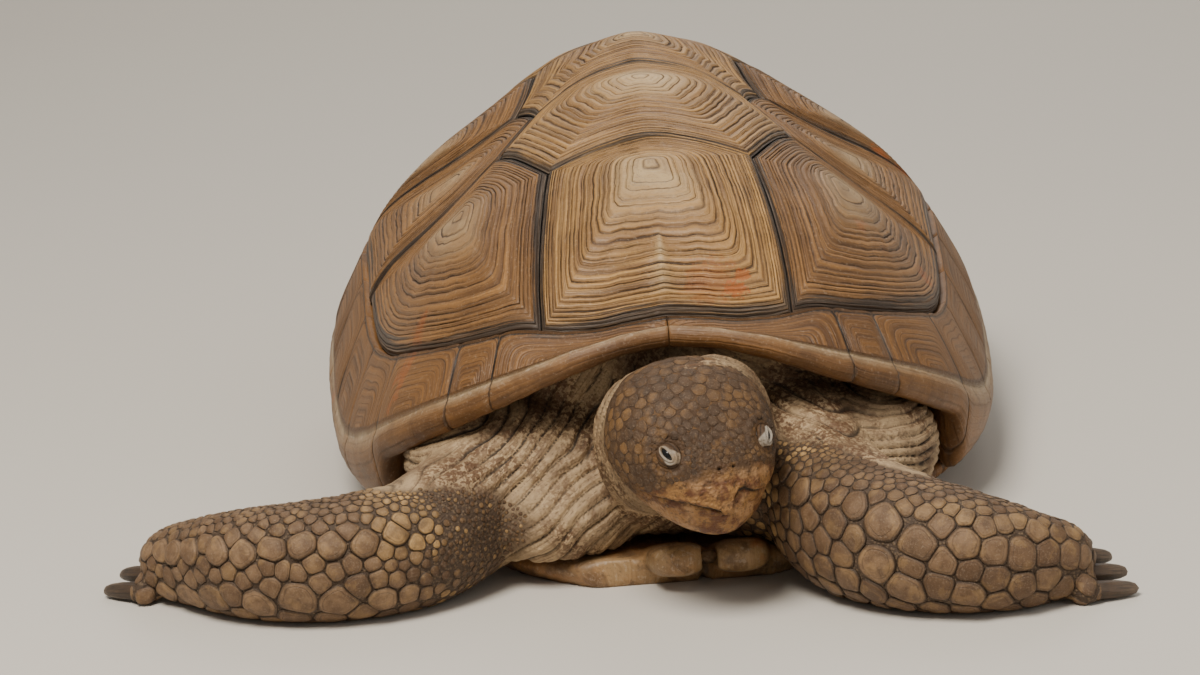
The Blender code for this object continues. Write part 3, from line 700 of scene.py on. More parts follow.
@dataclass(frozen=True)
class ClawFinish:
    """Blunt dark horn with lengthwise grain and a paler worn tip."""

    name: str = "claw_horn"
    base: Colour = (0.062, 0.036, 0.019)
    tip: Colour = (0.130, 0.090, 0.060)
    dark: Colour = (0.022, 0.016, 0.012)
    blotches: float = 160.0  # for each metre
    grit: float = 900.0
    depth: float = 0.0008

    def build(self, weather: Tree) -> Material:
        """Makes the material.

        Args:
            weather: the shared weathering.

        Returns:
            The material.
        """
        material, sheet = new_material(self.name)
        stain = sheet.group(weather, Place=sheet.place(), Blotch=self.blotches, Grit=self.grit)
        lie = sheet.lie()
        grain = sheet.speckle(sheet.vector(lie[0] * 26.0, lie[1] * 2.2), 1.0, 4.0)
        colour = sheet.layered(
            self.base, (sheet.step(lie[1], 0.35, 1.0), self.tip),
            (sheet.step(grain, 0.46, 0.66, 0.0, 0.75), self.dark), (stain["Blotch"] * 0.35, self.dark))
        relief = sheet.relief(grain + stain["Grit"] * 0.3, self.depth)
        return principled(material, sheet, colour, stain["Grit"] * 0.25 + 0.34, relief, specular=0.45)


@dataclass(frozen=True)
class EyeFinish:
    """A wet dark eye with a brown iris."""

    name: str = "wet_eye"
    iris: Colour = (0.018, 0.010, 0.006)
    pupil: Colour = (0.003, 0.003, 0.003)

    def build(self) -> Material:
        """Makes the material."""
        material, sheet = new_material(self.name)
        ray = sheet.speckle(sheet.place(), 900.0, 3.0)
        iris = sheet.mix(ray, self.iris, self.pupil)
        colour = sheet.mix(sheet.step(sheet.number("off_axis"), 0.42, 0.50), self.pupil, iris)
        rough = ray * 0.05 + 0.16
        shade = principled(material, sheet, colour, rough, None, specular=0.45)
        shade.node_tree.nodes["Principled BSDF"].inputs["Coat Weight"].default_value = 0.25
        return shade


@dataclass(frozen=True)
class FloorFinish:
    """A plain pale studio floor."""

    name: str = "studio_floor"
    colour: Colour = (0.60, 0.56, 0.50)

    def build(self) -> Material:
        """Makes the material."""
        material, sheet = new_material(self.name)
        soft = sheet.speckle(sheet.place(), 3.0, 2.0)
        colour = sheet.mix(soft * 0.12, self.colour, (0.5, 0.46, 0.41))
        return principled(material, sheet, colour, soft * 0.1 + 0.75, None, specular=0.2)


def new_material(name: str) -> tuple[Material, Sheet]:
    """An empty material and the sheet of its nodes."""
    material = bpy.data.materials.new(name)
    material.use_nodes = True
    return material, Sheet(material.node_tree)


def principled(material: Material, sheet: Sheet, colour: object, rough: object, normal: object,
               specular: float) -> Material:
    """Ends a material in its shader.

    Args:
        material: the material.
        sheet: the sheet of its nodes.
        colour: what feeds Base Color.
        rough: what feeds Roughness.
        normal: what feeds Normal, or nothing.
        specular: the constant specular level.

    Returns:
        The material.
    """
    shader = sheet.add("ShaderNodeBsdfPrincipled")
    shader.name = "Principled BSDF"
    sheet.feed(shader.inputs["Base Color"], colour)
    sheet.feed(shader.inputs["Roughness"], rough)
    shader.inputs["Specular IOR Level"].default_value = specular
    if normal is not None:
        sheet.feed(shader.inputs["Normal"], normal)
    end = sheet.add("ShaderNodeOutputMaterial")
    sheet.tree.links.new(shader.outputs[0], end.inputs["Surface"])
    return material


# ---- the shell ----------------------------------------------------------------------------------------
@dataclass(frozen=True)
class Carapace:
    """The dome over a flat disc: rho runs from the crown to the rim, phi from the front to the tail."""

    half_length: float = 0.336
    half_width: float = 0.248
    outline_power: float = 2.67
    front_narrow: float = 0.10
    nuchal_notch: float = 0.014
    crown_height: float = 0.3085
    crown_shift: float = 0.057
    dome_front: float = 1.378
    dome_rear: float = 1.15
    dome_rise: float = 1.243
    flare_front: float = 0.011
    flare_side: float = 0.006
    flare_rear: float = 0.030
    ring_front: float = 0.850
    ring_side: float = 0.091
    gutter: float = 0.0190
    waist: float = 0.0160
    bridge: tuple[float, ...] = (42, 47, 114, 127)  # degrees where it starts, is whole, and ends again
    rim_heights: Rows = (
        (0, 0.1960), (22, 0.1500), (42, 0.1010), (60, 0.053),
        (95, 0.0896), (135, 0.115), (160, 0.100), (180, 0.085))
    lips: Rows = (
        (0, 0.0125), (12, 0.0155), (30, 0.024), (45, 0.026),
        (60, 0.020), (120, 0.020), (150, 0.018), (180, 0.024))

    @staticmethod
    def blended(table: Sequence[tuple[float, float]], degrees: Array) -> Array:
        """Values of an angle table, averaged over a short arc so that no kink shows."""
        knots, values = np.array(table, float).T
        total = 0
        for shift in (-12, -6, 0, 6, 12):
            at = np.abs(degrees + shift)
            total = total + np.interp(np.where(at > 180, 360 - at, at), knots, values)
        return total / 5

    def rim(self, phi: Array) -> Array:
        """Points of the rim."""
        s, c = np.sin(phi), np.cos(phi)
        power = self.outline_power
        r = ((np.abs(s) / self.half_width) ** power + (np.abs(c) / self.half_length) ** power) ** (-1 / power)
        x, y = r * s, -r * c
        back = y / self.half_length
        x = x * (1 + self.front_narrow * 0.5 * (back - smooth(0.0, 1.0, back)))
        y = y + self.nuchal_notch * bell(x / 0.04) * (c > 0)
        degrees = np.degrees(np.abs((phi + np.pi) % (2 * np.pi) - np.pi))
        return np.stack([x, y, self.blended(self.rim_heights, degrees)], -1)

    def ring(self, phi: Array) -> Array:
        """The rho at which the marginal plates start."""
        return self.ring_front - self.ring_side * np.sin(phi) ** 2

    def surface(self, rho: Array, phi: Array) -> Array:
        """Points of the outer face."""
        edge, c = self.rim(phi), np.cos(phi)
        flare = self.flare_side + (self.flare_front - self.flare_side) * smooth(0.2, 0.9, c)
        flare = flare + (self.flare_rear - self.flare_side) * smooth(0.2, 0.9, -c)
        plan = self.dome_front + (self.dome_rear - self.dome_front) * smooth(-0.2, 0.9, -c)
        reach = 1 - 0.10 * smooth(0.008, 0.03, flare)
        h = np.sin(np.clip(rho, 0, 1) * np.pi / 2) ** plan
        v = np.maximum(np.cos(np.clip(rho / reach, 0, 1) * np.pi / 2), 0) ** self.dome_rise
        f = flare / np.hypot(edge[..., 0], edge[..., 1])
        scale = (1 - f) * h + f * smooth(0.78, 1.0, rho) * rho
        x, y = edge[..., 0] * scale, edge[..., 1] * scale + self.crown_shift * (1 - h)
        z = edge[..., 2] + (self.crown_height - edge[..., 2]) * v
        gutter = self.gutter * smooth(0.62, 0.855, rho) * (1 - smooth(0.87, 1.0, rho)) * smooth(0.93, 1.0, c)
        waist = self.waist * np.sin(phi) ** 4 * np.clip(1 - ((rho - 0.45) / 0.27) ** 2, 0, 1) ** 2
        return np.stack([x, y, z - gutter - waist], -1)

    def at(self, p: Array) -> Array:
        """The outer face at disc points."""
        return self.surface(np.hypot(p[..., 0], p[..., 1]), np.arctan2(p[..., 0], -p[..., 1]))

    def normal(self, p: Array, step: float = 0.012) -> Array:
        """Outward directions at disc points."""
        across = self.at(p + np.array([step, 0])) - self.at(p - np.array([step, 0]))
        back = self.at(p + np.array([0, step])) - self.at(p - np.array([0, step]))
        n = unit(np.cross(across, back))
        return n * np.where(n[..., 2:3] < 0, -1, 1)

    def polar(self, degrees: Array, rho: Array | None = None) -> Array:
        """Disc points at an angle, on the ring unless rho is given."""
        a = np.radians(degrees)
        r = self.ring(a) if rho is None else rho
        return np.stack([r * np.sin(a), -r * np.cos(a)], -1)

    def bridge_share(self, degrees: Array) -> Array:
        """How much the edge plates wrap down to the plastron at an angle."""
        start, full, last, end = self.bridge
        return smooth(start, full, degrees) * (1 - smooth(last, end, degrees))


@dataclass
class ShellPlates:
    """The five vertebral and eight costal plates, each with its own growth rings."""

    dome: Carapace
    v_corner: tuple = (None, (0.193, -0.433), (0.264, -0.179), (0.250, 0.110), (0.170, 0.420))
    v_side: tuple = (None, None, (0.337, -0.224), (0.335, -0.020), (0.300, 0.270))
    ring_angles: tuple[float, ...] = (16.7, 79.0, 110.0, 138.0, 163.0)
    areola_v: tuple = (None, (0.0, -0.520), (0.0, -0.262), (0.0, -0.020), (0.0, 0.265), (0.0, 0.560))
    areola_c: tuple = (None, (0.385, -0.375), (0.490, -0.075), (0.480, 0.190), (0.340, 0.440))
    seam_gap: float = 0.0012
    thickness: float = 0.007
    columns: int = 144
    areola_share: float = 0.16
    lift: float = 0.0046
    ridge: float = 0.00080
    vertebral_rings: tuple[int, ...] = (23, 19, 18, 18, 18)
    costal_rings: tuple[int, ...] = (19, 18, 18, 17)
    arc_step: float = 2.0  # degrees
    corner_reach: int = 9  # columns over which a corner of the inner rings is rounded
    ring_slack: float = 0.02  # disc units within which a seam lies on the ring
    bumps: float = 0.0011
    tear_height: float = 0.0030
    seam_sink: float = 0.0026
    ring_sink: float = 0.0030
    band: tuple[float, float] = (7.5, 13.0)  # millimetres of the dark band at all seams, and more at the ring
    # height, waves around, and drift by share and by plate of the wavering of the rings
    wavers: Rows = ((0.0040, 5, 0, 1.0), (0.0032, 11, 9, 2.1), (0.0022, 23, 14, 1.3))
    # share of a ring's width and height of the relief there, from one groove to the next
    ring_profile: Rows = ((0.0, -1.0), (0.16, 0.35), (0.50, 0.60), (0.84, 0.25))

    def arc(self, start: float, end: float) -> list[tuple[float, float]]:
        """Points along the ring between two angles."""
        count = max(2, int(abs(end - start) / self.arc_step))
        return [tuple(self.dome.polar(np.array(d))) for d in np.linspace(start, end, count)]

    def vertebral(self, n: int) -> list[tuple[float, float]]:
        """The outline of a vertebral plate on the disc."""
        first, _, _, _, last = self.ring_angles
        if n == 1:
            right = self.arc(0, first) + [self.v_corner[1]]
        elif n == 5:
            right = [self.v_corner[4]] + self.arc(last, 180)
        else:
            right = [self.v_corner[n - 1], self.v_side[n], self.v_corner[n]]
        whole = right + [(-x, y) for x, y in reversed(right)]
        return [p for i, p in enumerate(whole) if np.hypot(*np.subtract(p, whole[i - 1])) > MERGE]

    def costal(self, n: int) -> list[tuple[float, float]]:
        """The outline of a left costal plate on the disc."""
        start, end = self.ring_angles[n - 1], self.ring_angles[n]
        inner = {1: [self.v_side[2], self.v_corner[1]], 2: [self.v_side[3], self.v_corner[2], self.v_side[2]],
                 3: [self.v_side[4], self.v_corner[3], self.v_side[3]], 4: [self.v_corner[4], self.v_side[4]]}
        return self.arc(start, end) + inner[n]

    def outline_at(self, outline: Sequence[tuple[float, float]]) -> Pair:
        """The outline at even steps, and the same with its corners rounded."""
        corners = np.array(list(outline) + [outline[0]])
        run = run_along(corners)
        at = np.linspace(0, run[-1], self.columns, endpoint=False)
        edge = np.stack([np.interp(at, run, corners[:, k]) for k in (0, 1)], -1)
        for corner, place in zip(corners[:-1], run[:-1]):
            edge[int(round(place / run[-1] * self.columns)) % self.columns] = corner
        reach = self.corner_reach
        weights = np.hanning(2 * reach + 3)[1:-1]
        round_edge = sum(w * np.roll(edge, k, axis=0) for w, k in zip(weights, range(-reach, reach + 1)))
        return edge, round_edge / weights.sum()

    def tear(self, at: Array, share: Array) -> Array:
        """The small raised drop on the keel of the front plate."""
        wide = 0.0014 + 0.0046 * smooth(0.47, 0.76, share)
        drop = smooth(0.44, 0.60, share) * (1 - smooth(0.80, 0.87, share))
        return bell(at[:, 0] / wide) * drop * (at[:, 1] < -0.25)

    def rows(self, rings: int, seed: int) -> Array:
        """Share, depth, ring number and relief of each row from the middle of the face round to the back.

        Args:
            rings: how many growth rings the plate has.
            seed: varies their widths.

        Returns:
            One row for each line of the grid.
        """
        draw = np.random.default_rng(seed)
        widths = draw.uniform(0.60, 1.40, rings) * np.linspace(1.45, 0.75, rings)
        widths[-3:] *= 0.6
        shares = np.concatenate([[0], np.cumsum(widths)]) / widths.sum()
        starts = self.areola_share + (1 - self.areola_share) * shares
        strength = draw.uniform(0.45, 1.0, rings + 1)
        table = [(self.areola_share * s, 0.0, -1.5 + 1.4 * s, 0.0) for s in (0.0, 0.3, 0.6, 0.85)]
        for k in range(rings):
            wide = starts[k + 1] - starts[k]
            for phase, high in self.ring_profile:
                amount = high * (strength[k] if high < 0 else 0.5 * (strength[k] + strength[k + 1]))
                table.append((starts[k] + wide * phase, 0.0, k + phase, amount))
        deep = self.thickness
        table += [(1.0, 0.0, rings, -0.6)] + [(share, sink, rings, 0.0) for share, sink in (
            (1.0, 0.0022), (1.0, 0.0045), (1.0, deep), (0.55, deep), (0.0, deep))]
        return np.array(table)

    def plate(self, name: str, outline: Sequence[tuple[float, float]], core: Sequence[float], rings: int,
              seed: int) -> Piece:
        """Builds one plate.

        Args:
            name: the piece's name.
            outline: its seams on the disc.
            core: its areola on the disc.
            rings: how many growth rings it has.
            seed: varies its rings.

        Returns:
            The piece.
        """
        core = np.array(core)
        edge, round_edge = self.outline_at(outline)
        table = self.rows(rings, seed)
        girth = run_along(self.dome.at(np.vstack([edge, edge[:1]])))[-1]
        keeled = seed == 1
        rho, phi = np.hypot(*edge.T), np.arctan2(np.abs(edge[:, 0]), -edge[:, 1])
        outer = (np.abs(rho - self.dome.ring(phi)) < self.ring_slack).astype(float)
        outer = sum(np.roll(outer, k) for k in range(-4, 5)) / 9

        def looked_up(u: Array, v: Array) -> Pair:
            """Column and row of grid points."""
            column = np.rint(u * self.columns).astype(int) % self.columns
            return column, table[np.rint(v * (len(table) - 1)).astype(int)]

        def place(u: Array, v: Array) -> Array:
            """Places of grid points from their two shares."""
            column, row = looked_up(u, v)
            share = row[:, 0]
            angle = 2 * np.pi * column / self.columns
            waver = sum(high * np.sin(angle * waves + share * drift + seed * turn)
                        for high, waves, drift, turn in self.wavers)
            share = np.clip(share + waver * hump(share, 0.5, 0.5), 0, 1)
            keen = smooth(0.35, 0.96, share)[:, None]
            target = round_edge[column] * (1 - keen) + edge[column] * keen
            disc = core + (target - core) * share[:, None]
            at, out = self.dome.at(disc), self.dome.normal(disc)
            inward = unit(self.dome.at(core[None]) - at)
            short = self.seam_gap * (share > 0.999)
            raised = self.lift * (1 - smooth(0.0, 0.9, share)) + self.bumps * noise(at, 0.05, seed)
            if keeled:
                raised = raised + self.tear_height * self.tear(at, share)
            sink = self.seam_sink * smooth(0.945, 1.0, share)
            sink = sink + self.ring_sink * outer[column] * smooth(0.88, 1.0, share)
            firm = 0.25 + 0.75 * smooth(0.12, 0.45, share)
            high = raised - sink + row[:, 3] * self.ridge * firm - row[:, 1]
            high = np.where(row[:, 1] >= self.thickness, -row[:, 1], high)
            return at + out * high[:, None] + inward * short[:, None]

        def lie(u: Array, v: Array) -> Array:
            """Where grid points lie in the pattern."""
            _, row = looked_up(u, v)
            return np.stack([u * girth + seed * 3.7, row[:, 2] + seed * 40], -1)

        def marks(u: Array, v: Array) -> dict[str, Array]:
            """The numbers stored at grid points."""
            column, row = looked_up(u, v)
            span = np.linalg.norm(self.dome.at(edge[column]) - self.dome.at(core[None]), axis=-1)
            worn = (1 - smooth(0.04, 0.50, row[:, 0])) * 0.95
            if keeled:
                worn = np.maximum(worn, self.tear(place(u, v), row[:, 0]))
            return {"seam": (1 - row[:, 0]) * span * MILLI, "worn": worn, "lip": np.zeros(len(u)),
                    "band": self.band[0] + self.band[1] * outer[column]}

        return wrapped_grid(name, self.columns, len(table) - 1, place, lie, marks)

    def build(self, material: Material, shaded_side_material: Material) -> None:
        """Builds and dresses all thirteen plates."""
        for n, rings in enumerate(self.vertebral_rings, 1):
            piece = self.plate(f"vertebral_plate_{n}", self.vertebral(n), self.areola_v[n], rings, n)
            dressed(piece, material, "shell", f"vertebral_{n}")
        for n, rings in enumerate(self.costal_rings, 1):
            for side, sign in (("left", 1), ("right", -1)):
                outline = [(sign * x, y) for x, y in self.costal(n)]
                core = (sign * self.areola_c[n][0], self.areola_c[n][1])
                piece = self.plate(f"costal_plate_{side}_{n}", outline, core, rings, 10 + 2 * n + (sign > 0))
                # the costal plates take the darker copy of the horn, painted shade on the sides
                dressed(piece, shaded_side_material, "shell", f"costal_{side}_{n}")


@dataclass
class ShellEdge:
    """The marginal plates with their rolled lip, and the plate over the tail."""

    dome: Carapace
    seams: tuple[float, ...] = (0, 22.4, 28.9, 45, 60, 75, 90, 105, 121, 138, 154, 168)
    bridge_height: float = 0.025
    bridge_inset: float = 0.020
    seam_gap: float = 0.0003
    band: float = 2.2  # millimetres
    top_gap: float = 0.0020  # disc units
    rings: int = 13
    # outward shift, and share of the lip's depth, of the points that turn the lip
    lip_turn: Rows = ((0.0045, 0.25), (0.0050, 0.62), (0.0010, 0.95), (-0.010, 0.98))
    # outward shift, depth, and share of the fall to the bridge, of the points above it
    bridge_turn: Rows = ((0.0030, 0.007, 0.0), (0.0015, 0.0, 0.52), (-0.0070, 0.0, 0.87))
    top_share: float = 0.94  # where the rings turn from the sides to the top seam
    high_point: float = 0.60  # share across where the rings meet
    lip_start: float = 0.80
    round_power: int = 7
    across: int = 60
    outer_rows: int = 44
    under_rows: int = 26

    def under_points(self, degrees: float) -> Array:
        """The turn of the lip, the underside and the inner face at one angle, from the rim inward."""
        a = np.radians(degrees)
        start = float(self.dome.ring(a)) + self.top_gap
        out = self.dome.rim(np.array(a))
        outward = unit(np.array([np.sin(a) / self.dome.half_width, -np.cos(a) / self.dome.half_length, 0.0]))
        down = -UP
        lip = float(self.dome.blended(self.dome.lips, np.array(float(degrees))))
        w = float(self.dome.bridge_share(np.array(float(degrees))))

        def face(share: float, sink: float) -> Array:
            """A point under the outer face."""
            p = self.dome.polar(np.array(degrees), np.array(start + (1 - start) * share))
            return self.dome.at(p) - self.dome.normal(p) * sink

        lipped = [out + outward * shift + down * lip * deep for shift, deep in self.lip_turn]
        lipped += [face(0.40, 0.0120), face(0.0, 0.0085)]
        low = out - outward * self.bridge_inset
        low[2] = self.bridge_height
        fall = out[2] - self.bridge_height
        bridged = [out + outward * shift + down * (deep + fall * share) for shift, deep,
                   share in self.bridge_turn]
        bridged += [low, low - outward * 0.006 + UP * 0.006, face(0.0, 0.0085)]
        turn = [p * (1 - w) + q * w for p, q in zip(lipped, bridged)]
        return np.array([face(0.86, 0.0), out] + turn + [face(0.0, 0.0)])

    def section(self, degrees: float) -> Array:
        """One closed section of the edge: the outer face from the ring to the rim, then the lip and round."""
        size = abs(degrees) if degrees <= 180 else 360 - degrees
        start = float(self.dome.ring(np.radians(size))) + self.top_gap
        share = np.linspace(0, 1, self.outer_rows, endpoint=False)
        disc = self.dome.polar(np.full(len(share), float(size)), start + (1 - start) * share)
        outer = self.dome.at(disc)
        points = self.under_points(size)
        run = run_along(points)
        slope = np.gradient(points, run, axis=0)
        at = run[1] + (run[-1] - run[1]) * np.linspace(0, 1, self.under_rows + 1) ** 1.25
        i = np.clip(np.searchsorted(run, at, "right") - 1, 0, len(run) - 2)
        span = run[i + 1] - run[i]
        t = ((at - run[i]) / span)[:, None]
        span = span[:, None]
        turn = ((2 * t**3 - 3 * t**2 + 1) * points[i] + (t**3 - 2 * t**2 + t) * span * slope[i]
                + (3 * t**2 - 2 * t**3) * points[i + 1] + (t**3 - t**2) * span * slope[i + 1])
        whole = np.vstack([outer, turn])
        return whole * np.array([-1, 1, 1]) if degrees > 180 else whole

    def plate(self, name: str, start: float, end: float, seed: int, mirrored: bool) -> Piece:
        """Builds one plate of the edge.

        Args:
            name: the piece's name.
            start: its front seam in degrees.
            end: its rear seam in degrees.
            seed: varies its marks.
            mirrored: whether it is the animal's right one.

        Returns:
            The piece.
        """
        stops = np.linspace(start, end, self.across + 1)
        sections = np.array([self.section(float(s)) for s in stops])
        count = sections.shape[1]
        centres = sections.mean(axis=1, keepdims=True)
        length = run_along(sections[:, self.outer_rows // 2])[-1]
        away = np.minimum(np.arange(self.across + 1), np.arange(self.across, -1, -1)) / self.across * length
        if start == self.seams[0]:
            away[:self.across // 2] += 0.0024
        rows = np.arange(count)
        b = np.clip(rows / self.outer_rows, 0, 1)
        deep = run_along(sections[self.across // 2, :self.outer_rows])[-1]
        lip = smooth(self.lip_start, 0.96, rows / self.outer_rows)
        a = np.linspace(0, 1, self.across + 1)[:, None]
        peak, top, power = self.high_point, self.top_share, self.round_power
        far = np.where(a < peak, (peak - a) / peak, (a - peak) / (1 - peak))
        high = np.broadcast_to(np.clip((top - b) / top, 0, 1)[None], (self.across + 1, count))
        share = (far**power + high**power) ** (1 / power)
        rolled = 60 + np.maximum(rows / self.outer_rows - self.lip_start, 0) * 26
        phase = share * self.rings * (1 - lip)[None] + rolled[None] * lip[None]
        seam = np.minimum(away[:, None] + 0.0010 * lip[None], (b * deep)[None] + 0.004 * lip[None])
        inward = unit(centres - sections)
        sink = 0.0009 * (1 - smooth(0.0, 0.0045, away))[:, None]
        sink = sink + 0.0022 * (1 - smooth(0.0, 0.0060, b * deep))[None]
        relief = (0.00040 - 0.00020 * lip)[None] * (0.5 - np.abs((phase % 1) - 0.5))
        wide, fine = (noise(sections.reshape(-1, 3), size, seed).reshape(share.shape)
                      for size in (0.03, 0.009))
        wavy = wide * 0.0006 + fine * 0.0005 * lip[None]
        places = sections + inward * (sink - relief - wavy)[..., None]
        along = unit(np.gradient(sections, axis=0))
        places[0] += along[0] * self.seam_gap
        places[-1] -= along[-1] * self.seam_gap
        capped = np.concatenate([centres[:1].repeat(count, 1), places, centres[-1:].repeat(count, 1)])
        capped[0] += along[0] * self.seam_gap
        capped[-1] -= along[-1] * self.seam_gap
        if mirrored:
            capped = capped * np.array([-1, 1, 1])
        mark = {"seam": seam * MILLI, "lip": np.broadcast_to(lip[None], share.shape),
                "worn": np.broadcast_to((hump(rows / self.outer_rows, 0.96, 0.13))[None], share.shape),
                "band": np.full(share.shape, self.band)}

        def looked_up(u: Array, v: Array) -> Pair:
            """Column and row of grid points."""
            return np.rint(u * (self.across + 2)).astype(int), np.rint(v * count).astype(int) % count

        def place(u: Array, v: Array) -> Array:
            """Places of grid points from their two shares."""
            return capped[looked_up(u, v)]

        def lie(u: Array, v: Array) -> Array:
            """Where grid points lie in the pattern."""
            i, j = looked_up(u, v)
            i = np.clip(i - 1, 0, self.across)
            run = np.where(far[i, 0] > high[i, j], b[j] * deep, a[i, 0] * length)
            return np.stack([run + 2.3 * seed, phase[i, j] + 31 * seed], -1)

        def marks(u: Array, v: Array) -> dict[str, Array]:
            """The numbers stored at grid points."""
            i, j = looked_up(u, v)
            return {key: values[np.clip(i - 1, 0, self.across), j] for key, values in mark.items()}

        return wrapped_grid(name, self.across + 2, count, place, lie, marks)

    def build(self, material: Material) -> None:
        """Builds and dresses the twenty-three plates."""
        for n, (start, end) in enumerate(zip(self.seams[:-1], self.seams[1:]), start=1):
            for side in ("left", "right"):
                mirrored = side == "right"
                piece = self.plate(f"marginal_plate_{side}_{n}", start, end, 2 * n + mirrored, mirrored)
                dressed(piece, material, "shell_edge", f"marginal_{side}_{n}")
        piece = self.plate("supracaudal_plate", self.seams[-1], 360 - self.seams[-1], 40, False)
        dressed(piece, material, "shell_edge", "supracaudal")


@dataclass
class Plastron:
    """The flat underside with its seams and the two horns under the throat."""

    top: float = 0.020
    rows: Rows = (
        (-0.330, 0.060, 0.072, 0.014), (-0.305, 0.092, 0.108, 0.013), (-0.270, 0.122, 0.136, 0.013),
        (-0.215, 0.138, 0.158, 0.014), (-0.165, 0.150, 0.204, 0.022), (-0.080, 0.156, 0.2165, 0.023),
        (0.000, 0.156, 0.2165, 0.023), (0.075, 0.152, 0.212, 0.023), (0.130, 0.140, 0.190, 0.022),
        (0.175, 0.122, 0.136, 0.014), (0.225, 0.102, 0.114, 0.013), (0.268, 0.062, 0.076, 0.013))
    gular_shift: float = 0.016
    gular: Rows = (
        (-0.312, 0.0245, 0.0225, 0.003, 0.0240), (-0.336, 0.0225, 0.0205, 0.008, 0.0310),
        (-0.353, 0.0215, 0.0185, 0.012, 0.0350), (-0.361, 0.0205, 0.0120, 0.016, 0.0315))
    cross_seams: tuple[float, ...] = (-0.245, -0.125, -0.085, 0.105, 0.195)
    voxel: float = 0.0032
    band: float = 2.2  # millimetres
    # share round half of a section of each of its corners
    corners: tuple[float, ...] = (0, 0.36, 0.43, 0.47, 0.52, 0.62, 1.0)
    slab_end: float = 0.03  # share of the rows that round each end
    horn_end: float = 0.15

    def slab(self) -> Piece:
        """The plate without its horns."""
        table = np.array(self.rows)

        def place(u: Array, v: Array) -> Array:
            """Places of grid points from their two shares."""
            at = np.clip((v - self.slab_end) / (1 - 2 * self.slab_end), 0, 1)
            y, flat, edge, high = spline(table, at).T
            end = np.sqrt(np.clip(np.minimum(v, 1 - v) / self.slab_end, 0, 1))
            none, top = np.zeros_like(flat), np.full_like(flat, self.top)
            side = np.stack([none, flat, edge - 0.002, edge, edge - 0.006, flat * 0.92, none], 1)
            tall = np.stack([none, none, high * 0.62, high, high + 0.003, top, top - 0.002], 1)
            knots = np.array(self.corners)
            t = 1 - np.abs(2 * u - 1)
            i = np.clip(np.searchsorted(knots, t, "right") - 1, 0, len(knots) - 2)
            f = (t - knots[i]) / (knots[i + 1] - knots[i])
            n = np.arange(len(u))
            x = side[n, i] * (1 - f) + side[n, i + 1] * f
            z = tall[n, i] * (1 - f) + tall[n, i + 1] * f
            mid = self.top * 0.5
            return np.stack([x * np.where(u < 0.5, 1, -1) * end, y, mid + (z - mid) * end], -1)

        return wrapped_grid("plastron_slab", 160, 150, place)

    def horn(self, side: int) -> Piece:
        """One of the two horns at the front."""
        table = np.array(self.gular)

        def place(u: Array, v: Array) -> Array:
            """Places of grid points from their two shares."""
            y, offset, half, low, high = spline(table, np.clip((v - 0.05) / 0.80, 0, 1)).T
            past = np.clip((v - (1 - self.horn_end)) / self.horn_end, 0, 1)
            end = np.sqrt(1 - past**2) * (v > 0)
            c, s = squared(2 * np.pi * u, 0.7)
            y = y - 0.0035 * past
            x = self.gular_shift + side * offset + half * c * end
            return np.stack([x, y, (low + high) / 2 + (high - low) / 2 * s * end], -1)

        return wrapped_grid(f"gular_{side}", 40, 30, place)

    def build(self, material: Material) -> None:
        """Builds and dresses the plastron."""
        piece = fused("plastron_plates", [self.slab(), self.horn(-1), self.horn(1)], self.voxel, 5)
        at, out = points_of(piece), normals_of(piece)
        x, y, z = at.T
        middle = self.gular_shift * smooth(-0.30, -0.34, y)
        to_middle = np.abs(x - middle)
        bow = y + 0.35 * np.abs(x)
        to_cross = np.min([np.abs(bow - s - 0.02) for s in self.cross_seams], axis=0)
        seam = np.minimum(to_middle, to_cross)
        groove = 0.0016 * (1 - smooth(0.0, 0.003, seam))
        split = 0.006 * (1 - smooth(0.001, 0.0055, to_middle)) * smooth(-0.318, -0.335, y)
        at = at - out * (groove + split - 0.0006 * noise(at, 0.02, 3, 2))[:, None]
        at[:, 2] = np.maximum(at[:, 2], 0.0)
        at[:, 2] = np.where((z < 0.0012) & (seam > 0.003), 0.0, at[:, 2])
        move_points(piece, at)
        inner = np.minimum(to_middle / 0.15, to_cross / 0.10)
        lay_map(piece, "lie", np.stack([np.where(to_middle < to_cross, y, x), 9 - seam / 0.0042], -1))
        paint(piece, "seam", seam * MILLI)
        paint(piece, "worn", smooth(-0.30, -0.345, y) * 0.55 + 0.2 * inner)
        paint_even(piece, lip=1.0, band=self.band)
        piece.data.shade_smooth()
        dressed(piece, material, "plastron", "plastron")


